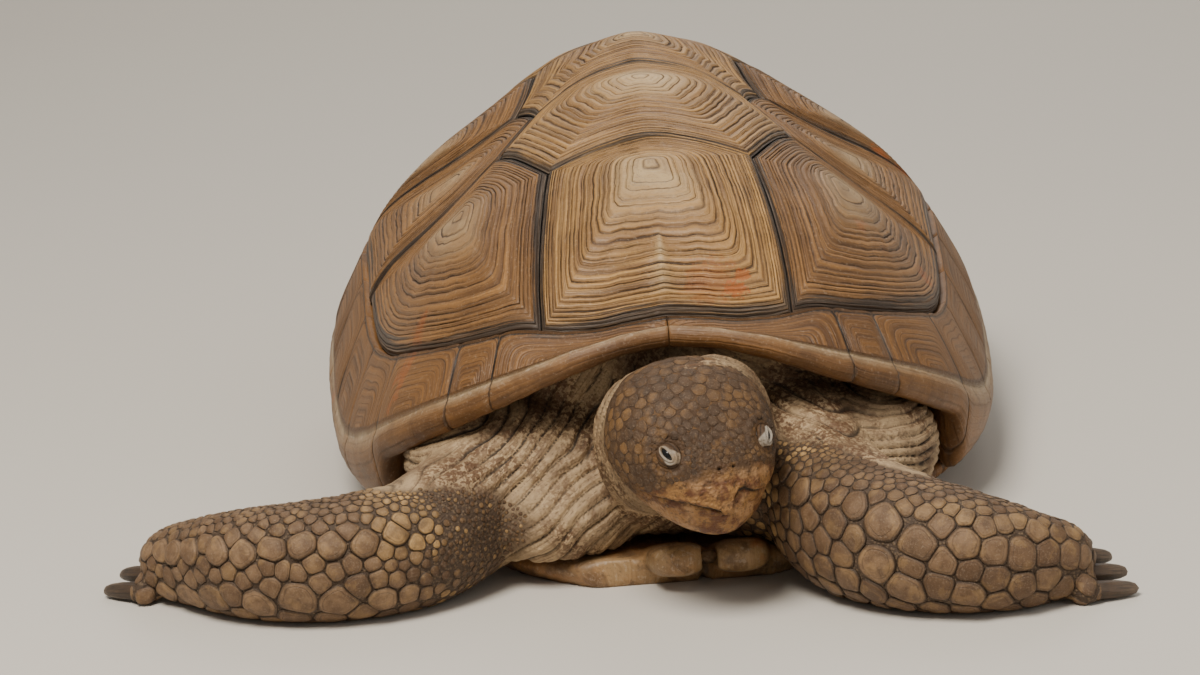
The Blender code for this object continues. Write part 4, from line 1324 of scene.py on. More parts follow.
# ---- flesh --------------------------------------------------------------------------------------------
@dataclass
class Limb:
    """A tapering limb along a path, with places on it given by distance along and angle around."""

    name: str
    stations: Rows
    front_sign: float = 1.0
    exponent: float = 2.3
    inside: float = 0.0010  # how far the skin lies inside the solid, under the scales
    samples: int = 160
    look: float = 0.03  # share of the path over which its direction is measured
    root_cap: float = 0.06  # share of the rows that close the root, and the end
    end_cap: float = 0.08
    border: Rows = ((-180, 0.5), (180, 0.5))  # degrees and share where scales start

    def frame_at(self, at: Array) -> tuple[Array, Array, Array, Array]:
        """Stations, directions, front sides and upper sides of the path at shares of its length."""
        table = np.array(self.stations)
        here = spline(table, at)
        after, before = (spline(table, np.clip(at + step, 0, 1))[:, :3] for step in (self.look, -self.look))
        ahead = unit(after - before)
        side = unit(np.cross(ahead, UP))
        return here, ahead, side * self.front_sign, np.cross(side, ahead)

    def place(self, u: Array, v: Array) -> Array:
        """Points of the skin; v = 0 is the root and v = 1 the rounded end."""
        root, end = self.root_cap, 1 - self.end_cap
        here, ahead, side, up = self.frame_at(np.clip((v - root) / (1 - (root + self.end_cap)), 0, 1))
        cap = np.clip(np.maximum((root - v) / root, (v - end) / self.end_cap), 0, 1)
        shrink = np.sqrt(np.clip(1 - cap**2, 0, 1))
        c, s = squared(2 * np.pi * u, 2 / self.exponent)
        across, tall = (here[:, 3] - self.inside) * shrink, (here[:, 4] - self.inside) * shrink
        push = cap * np.where(v < 0.5, -1, 1) * np.minimum(here[:, 3], here[:, 4]) * 0.45
        p = here[:, :3] + side * (c * across)[:, None] + up * (s * tall)[:, None] + ahead * push[:, None]
        p[:, 2] = np.maximum(p[:, 2], FOOT)
        return p

    def build(self, around: int = 64, along: int = 90) -> Piece:
        """The limb as a closed form."""
        return wrapped_grid(self.name, around, along, self.place)

    def lie_of(self, points: Array) -> tuple[Array, Array, Array]:
        """Where points lie on the limb.

        Args:
            points: one row each.

        Returns:
            Share of the path's length, angle from the front (90 is up), and distance over the thickness.
        """
        here, _, side, up = self.frame_at(np.linspace(0, 1, self.samples))
        run = run_along(here[:, :3])
        near = np.concatenate([
            np.argmin(((chunk[:, None] - here[None, :, :3]) ** 2).sum(-1), axis=1)
            for chunk in np.array_split(points, max(1, len(points) // CHUNK))])
        offset = points - here[near, :3]
        forward, above = (offset * side[near]).sum(-1), (offset * up[near]).sum(-1)
        size = 0.5 * (here[near, 3] + here[near, 4])
        degrees = np.degrees(np.arctan2(above, forward))
        return run[near] / run[-1], degrees, np.linalg.norm(offset, axis=1) / size

    def scaly(self, points: Array, slack: float = 0.03) -> Array:
        """How far points belong to the dark scaly part of the limb, from 0 to 1."""
        share, degrees, reach = self.lie_of(points)
        knots, starts = np.array(self.border).T
        start = np.interp(degrees, knots, starts) + 0.012 * noise(points, 0.02, 1)
        close = np.maximum(1 - smooth(1.25, 1.55, reach), smooth(0.86, 0.92, share))
        return smooth(-slack, slack, share - start) * close


FORELEG_RIGHT = Limb("foreleg_right_form", (
    (-0.075, -0.205, 0.092, 0.046, 0.048), (-0.112, -0.252, 0.070, 0.044, 0.046),
    (-0.150, -0.298, 0.052, 0.042, 0.045), (-0.180, -0.326, 0.0435, 0.041, 0.0445),
    (-0.215, -0.341, 0.0420, 0.040, 0.0430), (-0.258, -0.340, 0.0400, 0.038, 0.0412),
    (-0.300, -0.322, 0.0365, 0.034, 0.0375), (-0.333, -0.292, 0.0300, 0.029, 0.0312),
    (-0.352, -0.269, 0.0250, 0.029, 0.0255), (-0.361, -0.258, 0.0215, 0.022, 0.0190)), -1.0, border=(
        (-180, 0.40), (-90, 0.36), (-25, 0.335), (3, 0.315), (30, 0.315), (47, 0.366), (64, 0.40),
        (74, 0.447),
        (90, 0.50), (110, 0.54), (145, 0.52), (180, 0.40)))
FORELEG_LEFT = Limb("foreleg_left_form", (
    (0.072, -0.205, 0.095, 0.046, 0.048), (0.082, -0.265, 0.078, 0.046, 0.048),
    (0.094, -0.322, 0.060, 0.045, 0.047), (0.112, -0.368, 0.0480, 0.045, 0.0485),
    (0.140, -0.404, 0.0445, 0.044, 0.0455), (0.176, -0.424, 0.0405, 0.041, 0.0415),
    (0.208, -0.428, 0.0350, 0.036, 0.0360), (0.232, -0.421, 0.0290, 0.031, 0.0300),
    (0.247, -0.413, 0.0250, 0.028, 0.0255), (0.255, -0.408, 0.0215, 0.021, 0.0185)), 1.0, border=(
        (-180, 0.56), (-90, 0.42), (-40, 0.33), (0, 0.30), (30, 0.31), (52, 0.34), (68, 0.38), (84, 0.42),
        (93, 0.50),
        (98, 0.60), (108, 0.68), (140, 0.66), (180, 0.56)))
HINDLEG_STATIONS = (
    (0.090, 0.140, 0.092, 0.048, 0.048), (0.124, 0.172, 0.072, 0.046, 0.045),
    (0.150, 0.198, 0.054, 0.044, 0.041), (0.164, 0.220, 0.037, 0.043, 0.037),
    (0.170, 0.230, 0.016, 0.045, 0.036), (0.172, 0.233, -0.001, 0.043, 0.034))
HINDLEG_LEFT = Limb("hindleg_left_form", HINDLEG_STATIONS, 1.0, border=((-180, 0.42), (180, 0.42)))
HINDLEG_RIGHT = Limb("hindleg_right_form", tuple((-s[0], *s[1:]) for s in HINDLEG_STATIONS), -1.0)
TAIL = Limb("tail_form", (
    (0.000, 0.235, 0.062, 0.036, 0.030), (0.000, 0.268, 0.055, 0.031, 0.026),
    (0.004, 0.296, 0.045, 0.025, 0.021), (0.012, 0.319, 0.034, 0.018, 0.016),
    (0.022, 0.334, 0.025, 0.011, 0.010), (0.028, 0.341, 0.020, 0.006, 0.006)), 1.0)
NECK = Limb("neck_form", (
    (0.000, -0.215, 0.100, 0.056, 0.043), (0.001, -0.255, 0.099, 0.057, 0.044),
    (0.003, -0.300, 0.099, 0.0570, 0.0450), (0.006, -0.330, 0.102, 0.0560, 0.0450),
    (0.009, -0.345, 0.107, 0.0520, 0.0480)), 1.0)


@dataclass
class Head:
    """The head: skull, cheeks, beak, jaw, lids and nostrils, shaped in its own frame."""

    centre: Spot = (0.0065, -0.376, 0.121)
    yaw: float = 22.0
    pitch: float = 24.0
    stations: Rows = (
        (-0.042, 0.036, 0.031, 0.028, 0.000), (-0.028, 0.0475, 0.0405, 0.034, 0.000),
        (-0.007, 0.0545, 0.0455, 0.0375, 0.000), (0.013, 0.0550, 0.0445, 0.0380, 0.001),
        (0.031, 0.0505, 0.0385, 0.0370, 0.003), (0.047, 0.0420, 0.0305, 0.0345, 0.005),
        (0.060, 0.0305, 0.0215, 0.0290, 0.008), (0.068, 0.0185, 0.0135, 0.0220, 0.011),
        (0.072, 0.0085, 0.0060, 0.0140, 0.013))
    # out from the middle, and height, of the mouth's line; the beak hooks down in the middle
    mouth: Rows = (
        (-0.055, -0.0160), (-0.0474, -0.0120), (-0.0389, -0.0086), (-0.0281, -0.0066), (-0.0142, -0.0082),
        (-0.0075, -0.0105), (-0.0035, -0.0155), (-0.0005, -0.0120), (0.0022, -0.0020), (0.0060, 0.0020),
        (0.0109, 0.0026), (0.0193, -0.0028), (0.0281, -0.0066), (0.0389, -0.0086), (0.0474, -0.0120),
        (0.055, -0.0160))
    beak_edge: Rows = (
        (0.0, 0.0125), (0.018, 0.0110), (0.033, 0.0065), (0.042, -0.0030), (0.048, -0.0110))
    eye_at: Spot = (0.0375, 0.0312, 0.0160)
    gaze: Spot = (0.46, 0.60, 0.62)
    eye_radius: float = 0.0096
    lid_radius: float = 0.0107
    eye_front: float = 0.0088
    nostril: Spot = (0.0580, 0.0052, 0.0150)
    squareness: float = 2.4
    socket_depth: float = 0.0030
    brow_height: float = 0.0018
    nostril_depth: float = 0.0034
    mouth_depth: float = 0.0027
    mouth_width: float = 0.00115
    slit_half: tuple[float, float] = (0.00600, 0.00195)
    lid_half: tuple[float, float] = (0.0142, 0.0130)
    lid_fold: float = 0.18  # share of the rows that turn in behind the lids' edge
    wrinkles: tuple[float, float] = (17, 0.8)  # radians across the lids, and at their edge

    def pose(self) -> Pair:
        """The turn and the origin of the head's own frame."""
        return turned(self.yaw, self.pitch), np.array(Vector(self.centre))

    def to_world(self, local: Array) -> Array:
        """World places of (along, out, up) rows."""
        turn, origin = self.pose()
        return np.stack([local[:, 1], -local[:, 0], local[:, 2]], -1) @ turn.T + origin

    def to_local(self, points: Array) -> Array:
        """The (along, out, up) rows of world places."""
        turn, origin = self.pose()
        p = (points - origin) @ turn
        return np.stack([-p[:, 1], p[:, 0], p[:, 2]], -1)

    def gaze_frame(self, side: float) -> tuple[Array, Array, Array, Array]:
        """Centre of an eye, its outward axis, the long way of its slit and the short way."""
        centre = np.array(self.eye_at) * [1, side, 1]
        axis = unit(np.array(self.gaze) * [1, side, 1])
        slit = np.array([0.0207, -0.0115 * side, -0.0105])
        slit = unit(slit - axis * (slit @ axis))
        return centre, axis, slit, np.cross(axis, slit) * side

    def mouth_drop(self, local: Array) -> Array:
        """Height above the mouth's line."""
        out, up = np.array(self.mouth).T
        return local[:, 2] - np.interp(local[:, 1], out, up)

    def beak_rise(self, side: Array) -> Array:
        """Height of the beak's border by the distance out from the middle."""
        out, up = np.array(self.beak_edge).T
        return np.interp(np.abs(side), out, up)

    def from_nostril(self, local: Array, sign: int) -> Array:
        """Distance from the nostril of one side."""
        return np.linalg.norm(local - np.array(self.nostril) * [1, sign, 1], axis=1)

    def form(self) -> Piece:
        """The head with every fold and pit in its mesh."""
        table = np.array(self.stations)

        def place(u: Array, v: Array) -> Array:
            """Places of grid points from their two shares."""
            at = np.clip((v - 0.02) / 0.955, 0, 1)
            along, wide, above, below, drop = spline(table, at).T
            cap = np.clip(np.maximum((0.02 - v) / 0.02, (v - 0.975) / 0.025), 0, 1)
            shrink = np.sqrt(np.clip(1 - cap**2, 0, 1))
            c, s = squared(2 * np.pi * u, 2 / self.squareness)
            up = np.where(s > 0, above, below) * s * shrink - drop
            return self.to_world(np.stack([along + 0.0012 * cap * (v > 0.5), wide * c * shrink, up], -1))

        piece = wrapped_grid("head_form", 184, 150, place)
        finish_with(piece, "SMOOTH", factor=0.5, iterations=4)
        at, out = points_of(piece), normals_of(piece)
        local = self.to_local(at)
        along, side, up = local.T
        swell = 0.0022 * bell((along + 0.004) / 0.020, (up + 0.006) / 0.018) * (np.abs(side) > 0.02)
        swell += 0.0014 * bell((along - 0.008) / 0.022, side / 0.022) * (up > 0)
        swell -= 0.0012 * bell((along - 0.038) / 0.012, side / 0.012) * (up > 0)
        for sign in (-1, 1):
            centre, axis, _, _ = self.gaze_frame(sign)
            away = np.linalg.norm(local - (centre + axis * self.eye_front), axis=1)
            swell -= self.socket_depth * (1 - smooth(0.0050, 0.0105, away))
            swell += 0.0010 * hump(away, 0.0150, 0.0042)
            swell -= 0.0005 * hump(away, 0.0122, 0.0016)
            brow = centre + axis * 0.008 + np.array([-0.004, -0.006 * sign, 0.0125])
            swell += self.brow_height * bell(*((local - brow) / [0.011, 0.006, 0.006]).T)
            hole = self.from_nostril(local, sign)
            pit = self.nostril_depth * (1 - smooth(0.0004, 0.0018, hole))
            swell += 0.0005 * hump(hole, 0.0030, 0.0016) - pit
        drop = self.mouth_drop(local)
        front = smooth(0.028, 0.038, along)
        swell -= front * self.mouth_depth * bell(drop / self.mouth_width)
        swell -= front * 0.0014 * smooth(0.0002, -0.0016, drop) * (1 - smooth(-0.010, -0.020, drop))
        swell += front * 0.0007 * hump(drop, 0.0028, 0.0028)
        keel = hump(side + 0.001, 0.0, 0.007) * smooth(0.050, 0.062, along) * smooth(-0.012, 0.004, up)
        swell += 0.0012 * keel
        knobs = noise(local, 0.0032, 5) * smooth(0.030, 0.045, along) * smooth(0.004, 0.012, up) * 0.00045
        swell += knobs + noise(local, 0.012, 8, 2) * 0.0007
        cheek = hump(along, 0.012, 0.020) * smooth(-0.010, -0.020, up)
        swell += 0.0006 * np.sin((up * 0.8 + along * 0.35) / 0.0016) * cheek
        move_points(piece, at + out * swell[:, None])
        rise = self.beak_rise(side)
        above = up - rise + 0.0040 * noise(local, 0.006, 2, 2)
        horn = smooth(0.0060, -0.0045, above) * smooth(0.024, 0.040, along)
        jaw = smooth(-0.004, -0.010, drop) * smooth(0.000, 0.022, along)
        paint(piece, "beak", np.clip(np.maximum(horn, jaw * 0.8), 0, 1))
        # painted shade in the mouth line and the nostrils
        holes = sum(1 - smooth(0.0006, 0.0016, self.from_nostril(local, s)) for s in (-1, 1))
        paint(piece, "crease", bell(drop / 0.0011) * front + holes)
        paint(piece, "fold", along * 300 + 5)
        paint_even(piece, head=1.0, arm=0.0, lid=0.0)
        return piece

    def lids(self, side: float) -> Piece:
        """The lids of one eye: a wrinkled ring of skin round a narrow slanting slit."""
        centre, axis, slit, short = self.gaze_frame(side)

        def spread(u: Array, v: Array) -> tuple[Array, ...]:
            """Cosine and sine around, share outward from the slit, and the wrinkles there."""
            t = np.clip((v - self.lid_fold) / (1 - self.lid_fold), 0, 1)
            return *cosine_and_sine(u), t, np.cos(t * self.wrinkles[0] + self.wrinkles[1])

        def corner(c: Array, s: Array, upper: float) -> Array:
            """How near the front corner is, less so on the upper lid."""
            return bell((c - 0.80) / 0.45) * (upper + (1 - upper) * smooth(0.3, -0.4, s))

        def place(u: Array, v: Array) -> Array:
            """Places of grid points from their two shares."""
            c, s, t, wrinkle = spread(u, v)
            (half_long, half_short), (wide, tall) = self.slit_half, self.lid_half
            slim = half_short * np.sign(s) * np.abs(s) ** 1.10
            opening = np.stack([half_long * c - 0.0008, slim], -1)
            outer = np.stack([wide * c, tall * s], -1)
            flat = opening * (1 - t[:, None]) + outer * t[:, None]
            turn = np.clip(1 - v / self.lid_fold, 0, 1)
            radius = self.lid_radius + 0.0007 * hump(t, 0.07, 0.10) - 0.0022 * turn
            radius = radius + 0.00035 * wrinkle * (t > 0.12) - 0.0030 * smooth(0.55, 1.0, t)
            radius = radius + 0.0017 * corner(c, s, 0.40) * hump(t, 0.26, 0.26)
            reach = np.linalg.norm(flat, axis=1) / self.lid_radius
            way = unit(flat)
            bent = np.minimum(reach, 1.45)
            aside = slit * way[:, :1] + short * way[:, 1:]
            p = axis * np.cos(bent)[:, None] + aside * np.sin(bent)[:, None]
            return self.to_world(centre + p * radius[:, None])

        def marks(u: Array, v: Array) -> dict[str, Array]:
            """The numbers stored at grid points."""
            c, s, t, wrinkle = spread(u, v)
            edge = 0.05 + 0.08 * smooth(0.2, -0.6, s) + 0.62 * corner(c, s, 0.35)
            pale = 1 - smooth(edge, edge + 0.14, t)
            # painted shade in the troughs of the wrinkles round the lids
            fold = 0.8 * hump(wrinkle, -1.0, 0.5) * (t > 0.12) * (1 - 0.6 * pale)
            return {"lid": pale, "crease": fold}

        name = "lids_left" if side > 0 else "lids_right"
        piece = wrapped_grid(name, 72, 36, place, None, marks)
        paint_even(piece, beak=0.0, head=1.0, arm=0.0, fold=2.0)
        return piece

    def eye(self, side: float, material: Material) -> None:
        """Builds and dresses one eye."""
        centre, axis, _, _ = self.gaze_frame(side)
        name = "left" if side > 0 else "right"
        piece = ball(40, 24, self.eye_radius)
        piece.name = piece.data.name = f"eyeball_{name}"
        at = points_of(piece)
        across = unit(np.cross(axis, UP))
        local = at @ np.array([across, np.cross(axis, across), axis])
        off = np.arccos(np.clip(unit(at)[:, 2], -1, 1))
        local = local * (1 + 0.05 * (1 - smooth(0.0, 0.7, off)))[:, None]
        move_points(piece, self.to_world(local + centre))
        paint(piece, "off_axis", off)
        close_up(piece)
        piece.data.shade_smooth()
        dressed(piece, material, "eye", f"eye_{name}")


@dataclass
class Hide:
    """The one skin: legs, neck with its collar folds, shoulders, body and tail, and the head in it."""

    dome: Carapace
    head: Head
    voxel: float = 0.0032
    rear_voxel: float = 0.0038
    pleat: float = 0.0050
    below_plates: float = 0.0155
    inner_ring: float = 0.045  # disc units inside the ring
    fan_at: tuple[float, float] = (-0.260, 0.280)  # where the right shoulder's folds fan out from
    fan_step: float = 0.0094
    drape_step: float = 0.0088  # between the folds of the left shoulder
    fine_folds: float = 2.3  # for each fold
    fine_pleat: float = 0.0011
    collar_pleat: float = 0.0015
    collar_folds: float = 225  # for each metre
    # centre, half sizes: the soft masses of the shoulders, breast and haunches
    front_masses: tuple = (
        ((-0.098, -0.232, 0.074), (0.092, 0.088, 0.056)), ((0.103, -0.238, 0.062), (0.084, 0.086, 0.056)),
        ((0.000, -0.255, 0.066), (0.095, 0.080, 0.048)), ((-0.088, -0.275, 0.047), (0.068, 0.062, 0.042)),
        ((0.062, -0.290, 0.062), (0.050, 0.060, 0.048)))
    rear_masses: tuple = (
        ((0.110, 0.195, 0.075), (0.075, 0.075, 0.050)), ((-0.110, 0.195, 0.075), (0.075, 0.075, 0.050)),
        ((0.000, 0.220, 0.060), (0.075, 0.070, 0.040)))
    # centre, half width, half height, thickness, turn to the left, tilt: rolls of skin behind the head
    collar: tuple = (
        ((0.0085, -0.3640, 0.1180), 0.0505, 0.0470, 0.0058, 16.0, 16.0),
        ((0.0070, -0.3500, 0.1130), 0.0530, 0.0500, 0.0062, 12.0, 12.0),
        ((0.0055, -0.3340, 0.1065), 0.0545, 0.0510, 0.0070, 8.0, 8.0))
    # share of its faces that each stretch keeps, so that the whole skin stays under 200,000 triangles
    kept_share: dict = field(default_factory=lambda: {"front": 0.56, "rear": 0.40, "head": 0.86})
    made: dict = field(default_factory=dict)

    def mass(self, centre: Sequence[float], size: Sequence[float]) -> Piece:
        """One soft rounded mass under the skin."""
        piece = ball(48, 28)
        at = points_of(piece) * np.array(size) + np.array(centre)
        at[:, 2] = np.maximum(at[:, 2], 0.020 if max(size) > 0.02 else 0.0004)
        move_points(piece, at)
        return piece

    def roll(self, centre: Sequence[float], wide: float, tall: float, thick: float, turn: float,
             tilt: float) -> Piece:
        """One roll of loose skin round the neck, thicker and lower on the right side."""
        frame_turn = turned(turn, tilt)

        def place(u: Array, v: Array) -> Array:
            """Places of grid points from their two shares."""
            a, b = 2 * np.pi * v, 2 * np.pi * u
            (c, s), still = squared(a, 0.9), np.zeros_like(a)
            fat = thick * (1 + 0.18 * np.sin(a * 2 + turn) + 0.25 * smooth(0.2, 0.9, -s))
            sag = 0.004 * smooth(0.2, 0.9, -s) * smooth(0.3, -0.8, c)
            radial = np.stack([c, still, s], -1)
            ring = np.stack([wide * c, still, tall * s - sag], -1)
            back = np.stack([still, 1.25 * fat * np.sin(b) + 0.003 * np.sin(a * 3 + thick * 900), still], -1)
            p = ring + radial * (fat * np.cos(b))[:, None] + back
            return p @ frame_turn.T + np.array(centre)

        return wrapped_grid("roll", 20, 96, place)

    def body(self, around: int, share_low: float) -> Piece:
        """The body under the plates, closed at the front and rear a little inside the rim."""
        def place(u: Array, v: Array) -> Array:
            """Places of grid points from their two shares."""
            degrees = (360 * u) % 360
            size = np.minimum(degrees, 360 - degrees)
            a = np.radians(degrees)
            start = self.dome.ring(a)
            w = self.dome.bridge_share(size)
            row = np.rint(v * 8).astype(int)
            p = np.zeros((len(u), 3))
            for k, rho in ((1, share_low), (2, 0.5 * (share_low + 0.72)), (3, None)):
                here = row == k
                far = start - self.inner_ring if rho is None else np.full(len(u), rho)
                disc = self.dome.polar(degrees, far)
                under = self.dome.at(disc) - self.dome.normal(disc) * self.below_plates
                p[here] = under[here]
            disc = self.dome.polar(degrees, start - self.inner_ring)
            top = self.dome.at(disc) - self.dome.normal(disc) * self.below_plates
            foot = self.dome.rim(a) * np.array([1, 1, 0])
            inset = 0.052 * w + np.where(size < 90, 0.038, 0.062) * (1 - w)
            foot = foot * (1 - inset / np.linalg.norm(foot, axis=1))[:, None]
            rows = {4: top * [0.97, 0.97, 1] - [0, 0, 0.022], 5: foot + [0, 0, 0.055],
                    6: foot * 0.97 + [0, 0, 0.026], 7: foot * 0.6 + [0, 0, 0.024]}
            for k, places in rows.items():
                p[row == k] = places[row == k]
            crown = self.dome.at(np.zeros((1, 2)))[0] - [0, 0, self.below_plates if share_low < 0.3 else 0.10]
            p[row == 0] = crown
            p[row == 8] = (0, 0, 0.024)
            return p

        return wrapped_grid("body_form", around, 8, place)

    def cut(self, piece: Piece, place: Sequence[float], normal: Sequence[float]) -> None:
        """Cuts away what lies beyond a plane and closes the cut."""
        select_only(piece)
        bpy.ops.object.mode_set(mode="EDIT")
        bpy.ops.mesh.select_all(action="SELECT")
        bpy.ops.mesh.bisect(plane_co=place, plane_no=normal, use_fill=True, clear_outer=True)
        bpy.ops.object.mode_set(mode="OBJECT")

    def swollen(self, piece: Piece, swell: Array) -> None:
        """Moves the skin out by its folds, less and less near the floor."""
        at, out = points_of(piece), normals_of(piece)
        at += out * (swell * smooth(0.0006, 0.006, at[:, 2]))[:, None]
        at[:, 2] = np.maximum(at[:, 2], CLEAR)
        move_points(piece, at)

    def round_collar(self, at: Array) -> Pair:
        """How far out on the collar places lie, the same round each fold, and how far they belong to it."""
        centre, wide, tall, _, turn, tilt = self.collar[len(self.collar) // 2]
        x, y, z = ((at - np.array(centre)) @ turned(turn, tilt)).T
        round_it = np.hypot(x / wide, z / tall)
        own = (1 - smooth(1.20, 1.42, round_it)) * (1 - smooth(0.020, 0.036, y)) * smooth(-0.040, -0.026, y)
        return round_it * wide + 0.75 * y, own

    def refined(self, piece: Piece, chosen: Array) -> None:
        """Halves the faces whose points are all chosen."""
        select_only(piece)
        faces = read(piece.data.polygons, "vertices", 4)
        bpy.ops.object.mode_set(mode="EDIT")
        bpy.ops.mesh.select_all(action="DESELECT")
        bpy.ops.mesh.select_mode(type="FACE")
        bpy.ops.object.mode_set(mode="OBJECT")
        piece.data.polygons.foreach_set("select", chosen[faces].all(axis=1))
        bpy.ops.object.mode_set(mode="EDIT")
        bpy.ops.mesh.subdivide(number_cuts=1, smoothness=0.0)
        bpy.ops.mesh.select_mode(type="VERT")
        bpy.ops.object.mode_set(mode="OBJECT")
        finish_with(piece, "SMOOTH", factor=0.4, iterations=1)

    def forearms(self, at: Array) -> Array:
        """How far places belong to the scaly part of a foreleg."""
        return np.maximum(FORELEG_RIGHT.scaly(at) * (at[:, 0] < 0), FORELEG_LEFT.scaly(at) * (at[:, 0] > 0))

    def front(self) -> Piece:
        """Forelegs, shoulders, breast, neck and collar in one skin."""
        wedge = self.body(72, 0.50)
        self.cut(wedge, (0, -0.13, 0), (0, 1, 0))
        self.cut(wedge, (0, 0, 0.185), (0, 0, 1))
        forms = [FORELEG_RIGHT.build(), FORELEG_LEFT.build(), NECK.build(), wedge]
        forms += [self.mass(*m) for m in self.front_masses]
        forms += [self.roll(*r) for r in self.collar]
        forms += [self.mass(root - unit(tip - root) * 0.003 + [0, 0, 0.0005], (0.0105, 0.0105, 0.0098))
                  for limb, tilt in ((FORELEG_RIGHT, -Claws.tilt), (FORELEG_LEFT, Claws.tilt))
                  for root, tip in Claws().row(limb, tilt)]
        piece = fused("front_skin", forms, self.voxel, 4)
        at = points_of(piece)
        arm = self.forearms(at)
        self.refined(piece, (arm < 0.5) & (at[:, 1] < -0.215) & (at[:, 2] > 0.016) & (at[:, 2] < 0.178))
        at = points_of(piece)
        x, y, z = at.T
        arm = self.forearms(at)
        ring, near_head = self.round_collar(at)
        wave = noise(at, 0.045, 4, 2)
        fan = np.hypot(x - self.fan_at[0], z - self.fan_at[1]) / self.fan_step + 0.80 * wave
        slope = np.interp(z, [0.05, 0.11], [0.18, 0.44])
        drape = (z + slope * (x - 0.08)) / self.drape_step + 0.75 * wave
        phase = np.where(x < 0.01, fan, drape)
        split = 0.62 + 0.38 * noise(at, 0.035, 9)
        fine = phase * self.fine_folds + 0.4 * noise(at, 0.02, 6)
        loose = (1 - arm) * (1 - smooth(0.0, 0.35, near_head)) * smooth(-0.20, -0.235, y)
        sharp, thin = ridges(phase), ridges(fine)
        swell = loose * (self.pleat * split * (sharp**0.6 - 0.62) + self.fine_pleat * (thin**0.6 - 0.5))
        ring = ring * self.collar_folds + 0.5 * noise(at, 0.035, 12)
        swell += near_head * self.collar_pleat * (ridges(ring) ** 0.6 - 0.6)
        swell += (0.0004 + 0.0004 * arm) * noise(at, 0.0065, 3, 2)
        self.swollen(piece, swell)
        # painted shade in the troughs of the shoulder folds and the collar rolls
        deep, shallow = 1 - smooth(0.02, 0.45, sharp), 1 - smooth(0.03, 0.45, thin)
        fold_shade = loose * np.maximum(deep * split * 1.25, 0.62 * shallow)
        fold_shade += near_head * 0.95 * (1 - smooth(0.05, 0.40, ridges(ring)))
        paint(piece, "crease", np.clip(fold_shade, 0, 1))
        paint(piece, "fold", np.where(near_head > 0.5, ring * 2, phase * 3))
        paint(piece, "arm", arm)
        paint(piece, "head", near_head * (0.26 + 0.22 * noise(at, 0.02, 21, 2)))
        paint_even(piece, beak=0.0, lid=0.0)
        return piece

    def rear(self) -> Piece:
        """Hind legs, haunches and tail in one skin."""
        wedge = self.body(72, 0.50)
        self.cut(wedge, (0, 0.15, 0), (0, -1, 0))
        self.cut(wedge, (0, 0, 0.150), (0, 0, 1))
        forms = [HINDLEG_LEFT.build(), HINDLEG_RIGHT.build(), TAIL.build(), wedge]
        forms += [self.mass(*m) for m in self.rear_masses]
        piece = fused("rear_skin", forms, self.rear_voxel, 4)
        at = points_of(piece)
        x, y, z = at.T
        s, _, reach = HINDLEG_LEFT.lie_of(np.stack([np.abs(x), y, z], -1))
        arm = smooth(0.25, 0.5, s) * (1 - smooth(1.2, 1.5, reach))
        phase = np.degrees(np.arctan2(z - 0.09, np.abs(x) - 0.04)) / 12 + 1.2 * noise(at, 0.04, 5)
        sharp = ridges(phase)
        swell = (1 - arm) * 0.0022 * (sharp**0.7 - 0.6) * smooth(0.15, 0.2, y) + 0.0005 * noise(at, 0.008, 3)
        self.swollen(piece, swell)
        # painted shade in the troughs of the haunch folds
        paint(piece, "crease", (1 - arm) * (1 - smooth(0.05, 0.45, sharp)) * 0.8)
        paint(piece, "fold", phase * 3)
        paint(piece, "arm", np.maximum(arm, 0.35))
        paint_even(piece, head=0.0, beak=0.0, lid=0.0)
        return piece

    def build(self, material: Material) -> None:
        """Builds and dresses the whole skin, and keeps its shape for the scales."""
        front, rear, head = self.front(), self.rear(), self.head.form()
        core = self.body(48, 0.22)
        paint_even(core, crease=0.0, fold=0.0, arm=0.0, head=0.0, beak=0.0, lid=0.0)
        for (key, share), piece in zip(self.kept_share.items(), (front, rear, head)):
            self.made[key] = Skin.of(piece)
            finish_with(piece, "DECIMATE", ratio=share)
        piece = joined("hide", [front, rear, head, core, self.head.lids(-1), self.head.lids(1)])
        piece.data.shade_smooth()
        dressed(piece, material, "skin", "head", "jaw", "neck", "trunk", "tail",
                "foreleg_left", "foreleg_right", "hindleg_left", "hindleg_right")


@dataclass(frozen=True)
class Skin:
    """The finished shape of a stretch of skin, for laying scales on."""

    points: Array
    triangles: Array
    tree: BVHTree

    @classmethod
    def of(cls, piece: Piece) -> "Skin":
        """Keeps the shape of a piece."""
        piece.data.calc_loop_triangles()
        at, corners = points_of(piece), read(piece.data.loop_triangles, "vertices")
        return cls(at, corners, BVHTree.FromPolygons(at.tolist(), corners.tolist()))

    def scattered(self, keep: Array, count: int, draw: np.random.Generator) -> Array:
        """Random places spread evenly over the kept points' faces.

        Args:
            keep: which points may carry scales.
            count: how many places.
            draw: the random source.

        Returns:
            The places, one row each.
        """
        use = self.triangles[keep[self.triangles].all(1)]
        a, b, c = (self.points[use[:, k]] for k in range(3))
        area = np.linalg.norm(np.cross(b - a, c - a), axis=1)
        pick = draw.choice(len(use), count, p=area / area.sum())
        r, s = np.sqrt(draw.random(count))[:, None], draw.random(count)[:, None]
        return a[pick] * (1 - r) + b[pick] * r * (1 - s) + c[pick] * r * s

    def nearest(self, places: Array) -> Pair:
        """The nearest places on the skin and the directions outward there."""
        found = [self.tree.find_nearest(p) for p in places.tolist()]
        return np.array([f[0][:] for f in found]), np.array([f[1][:] for f in found])


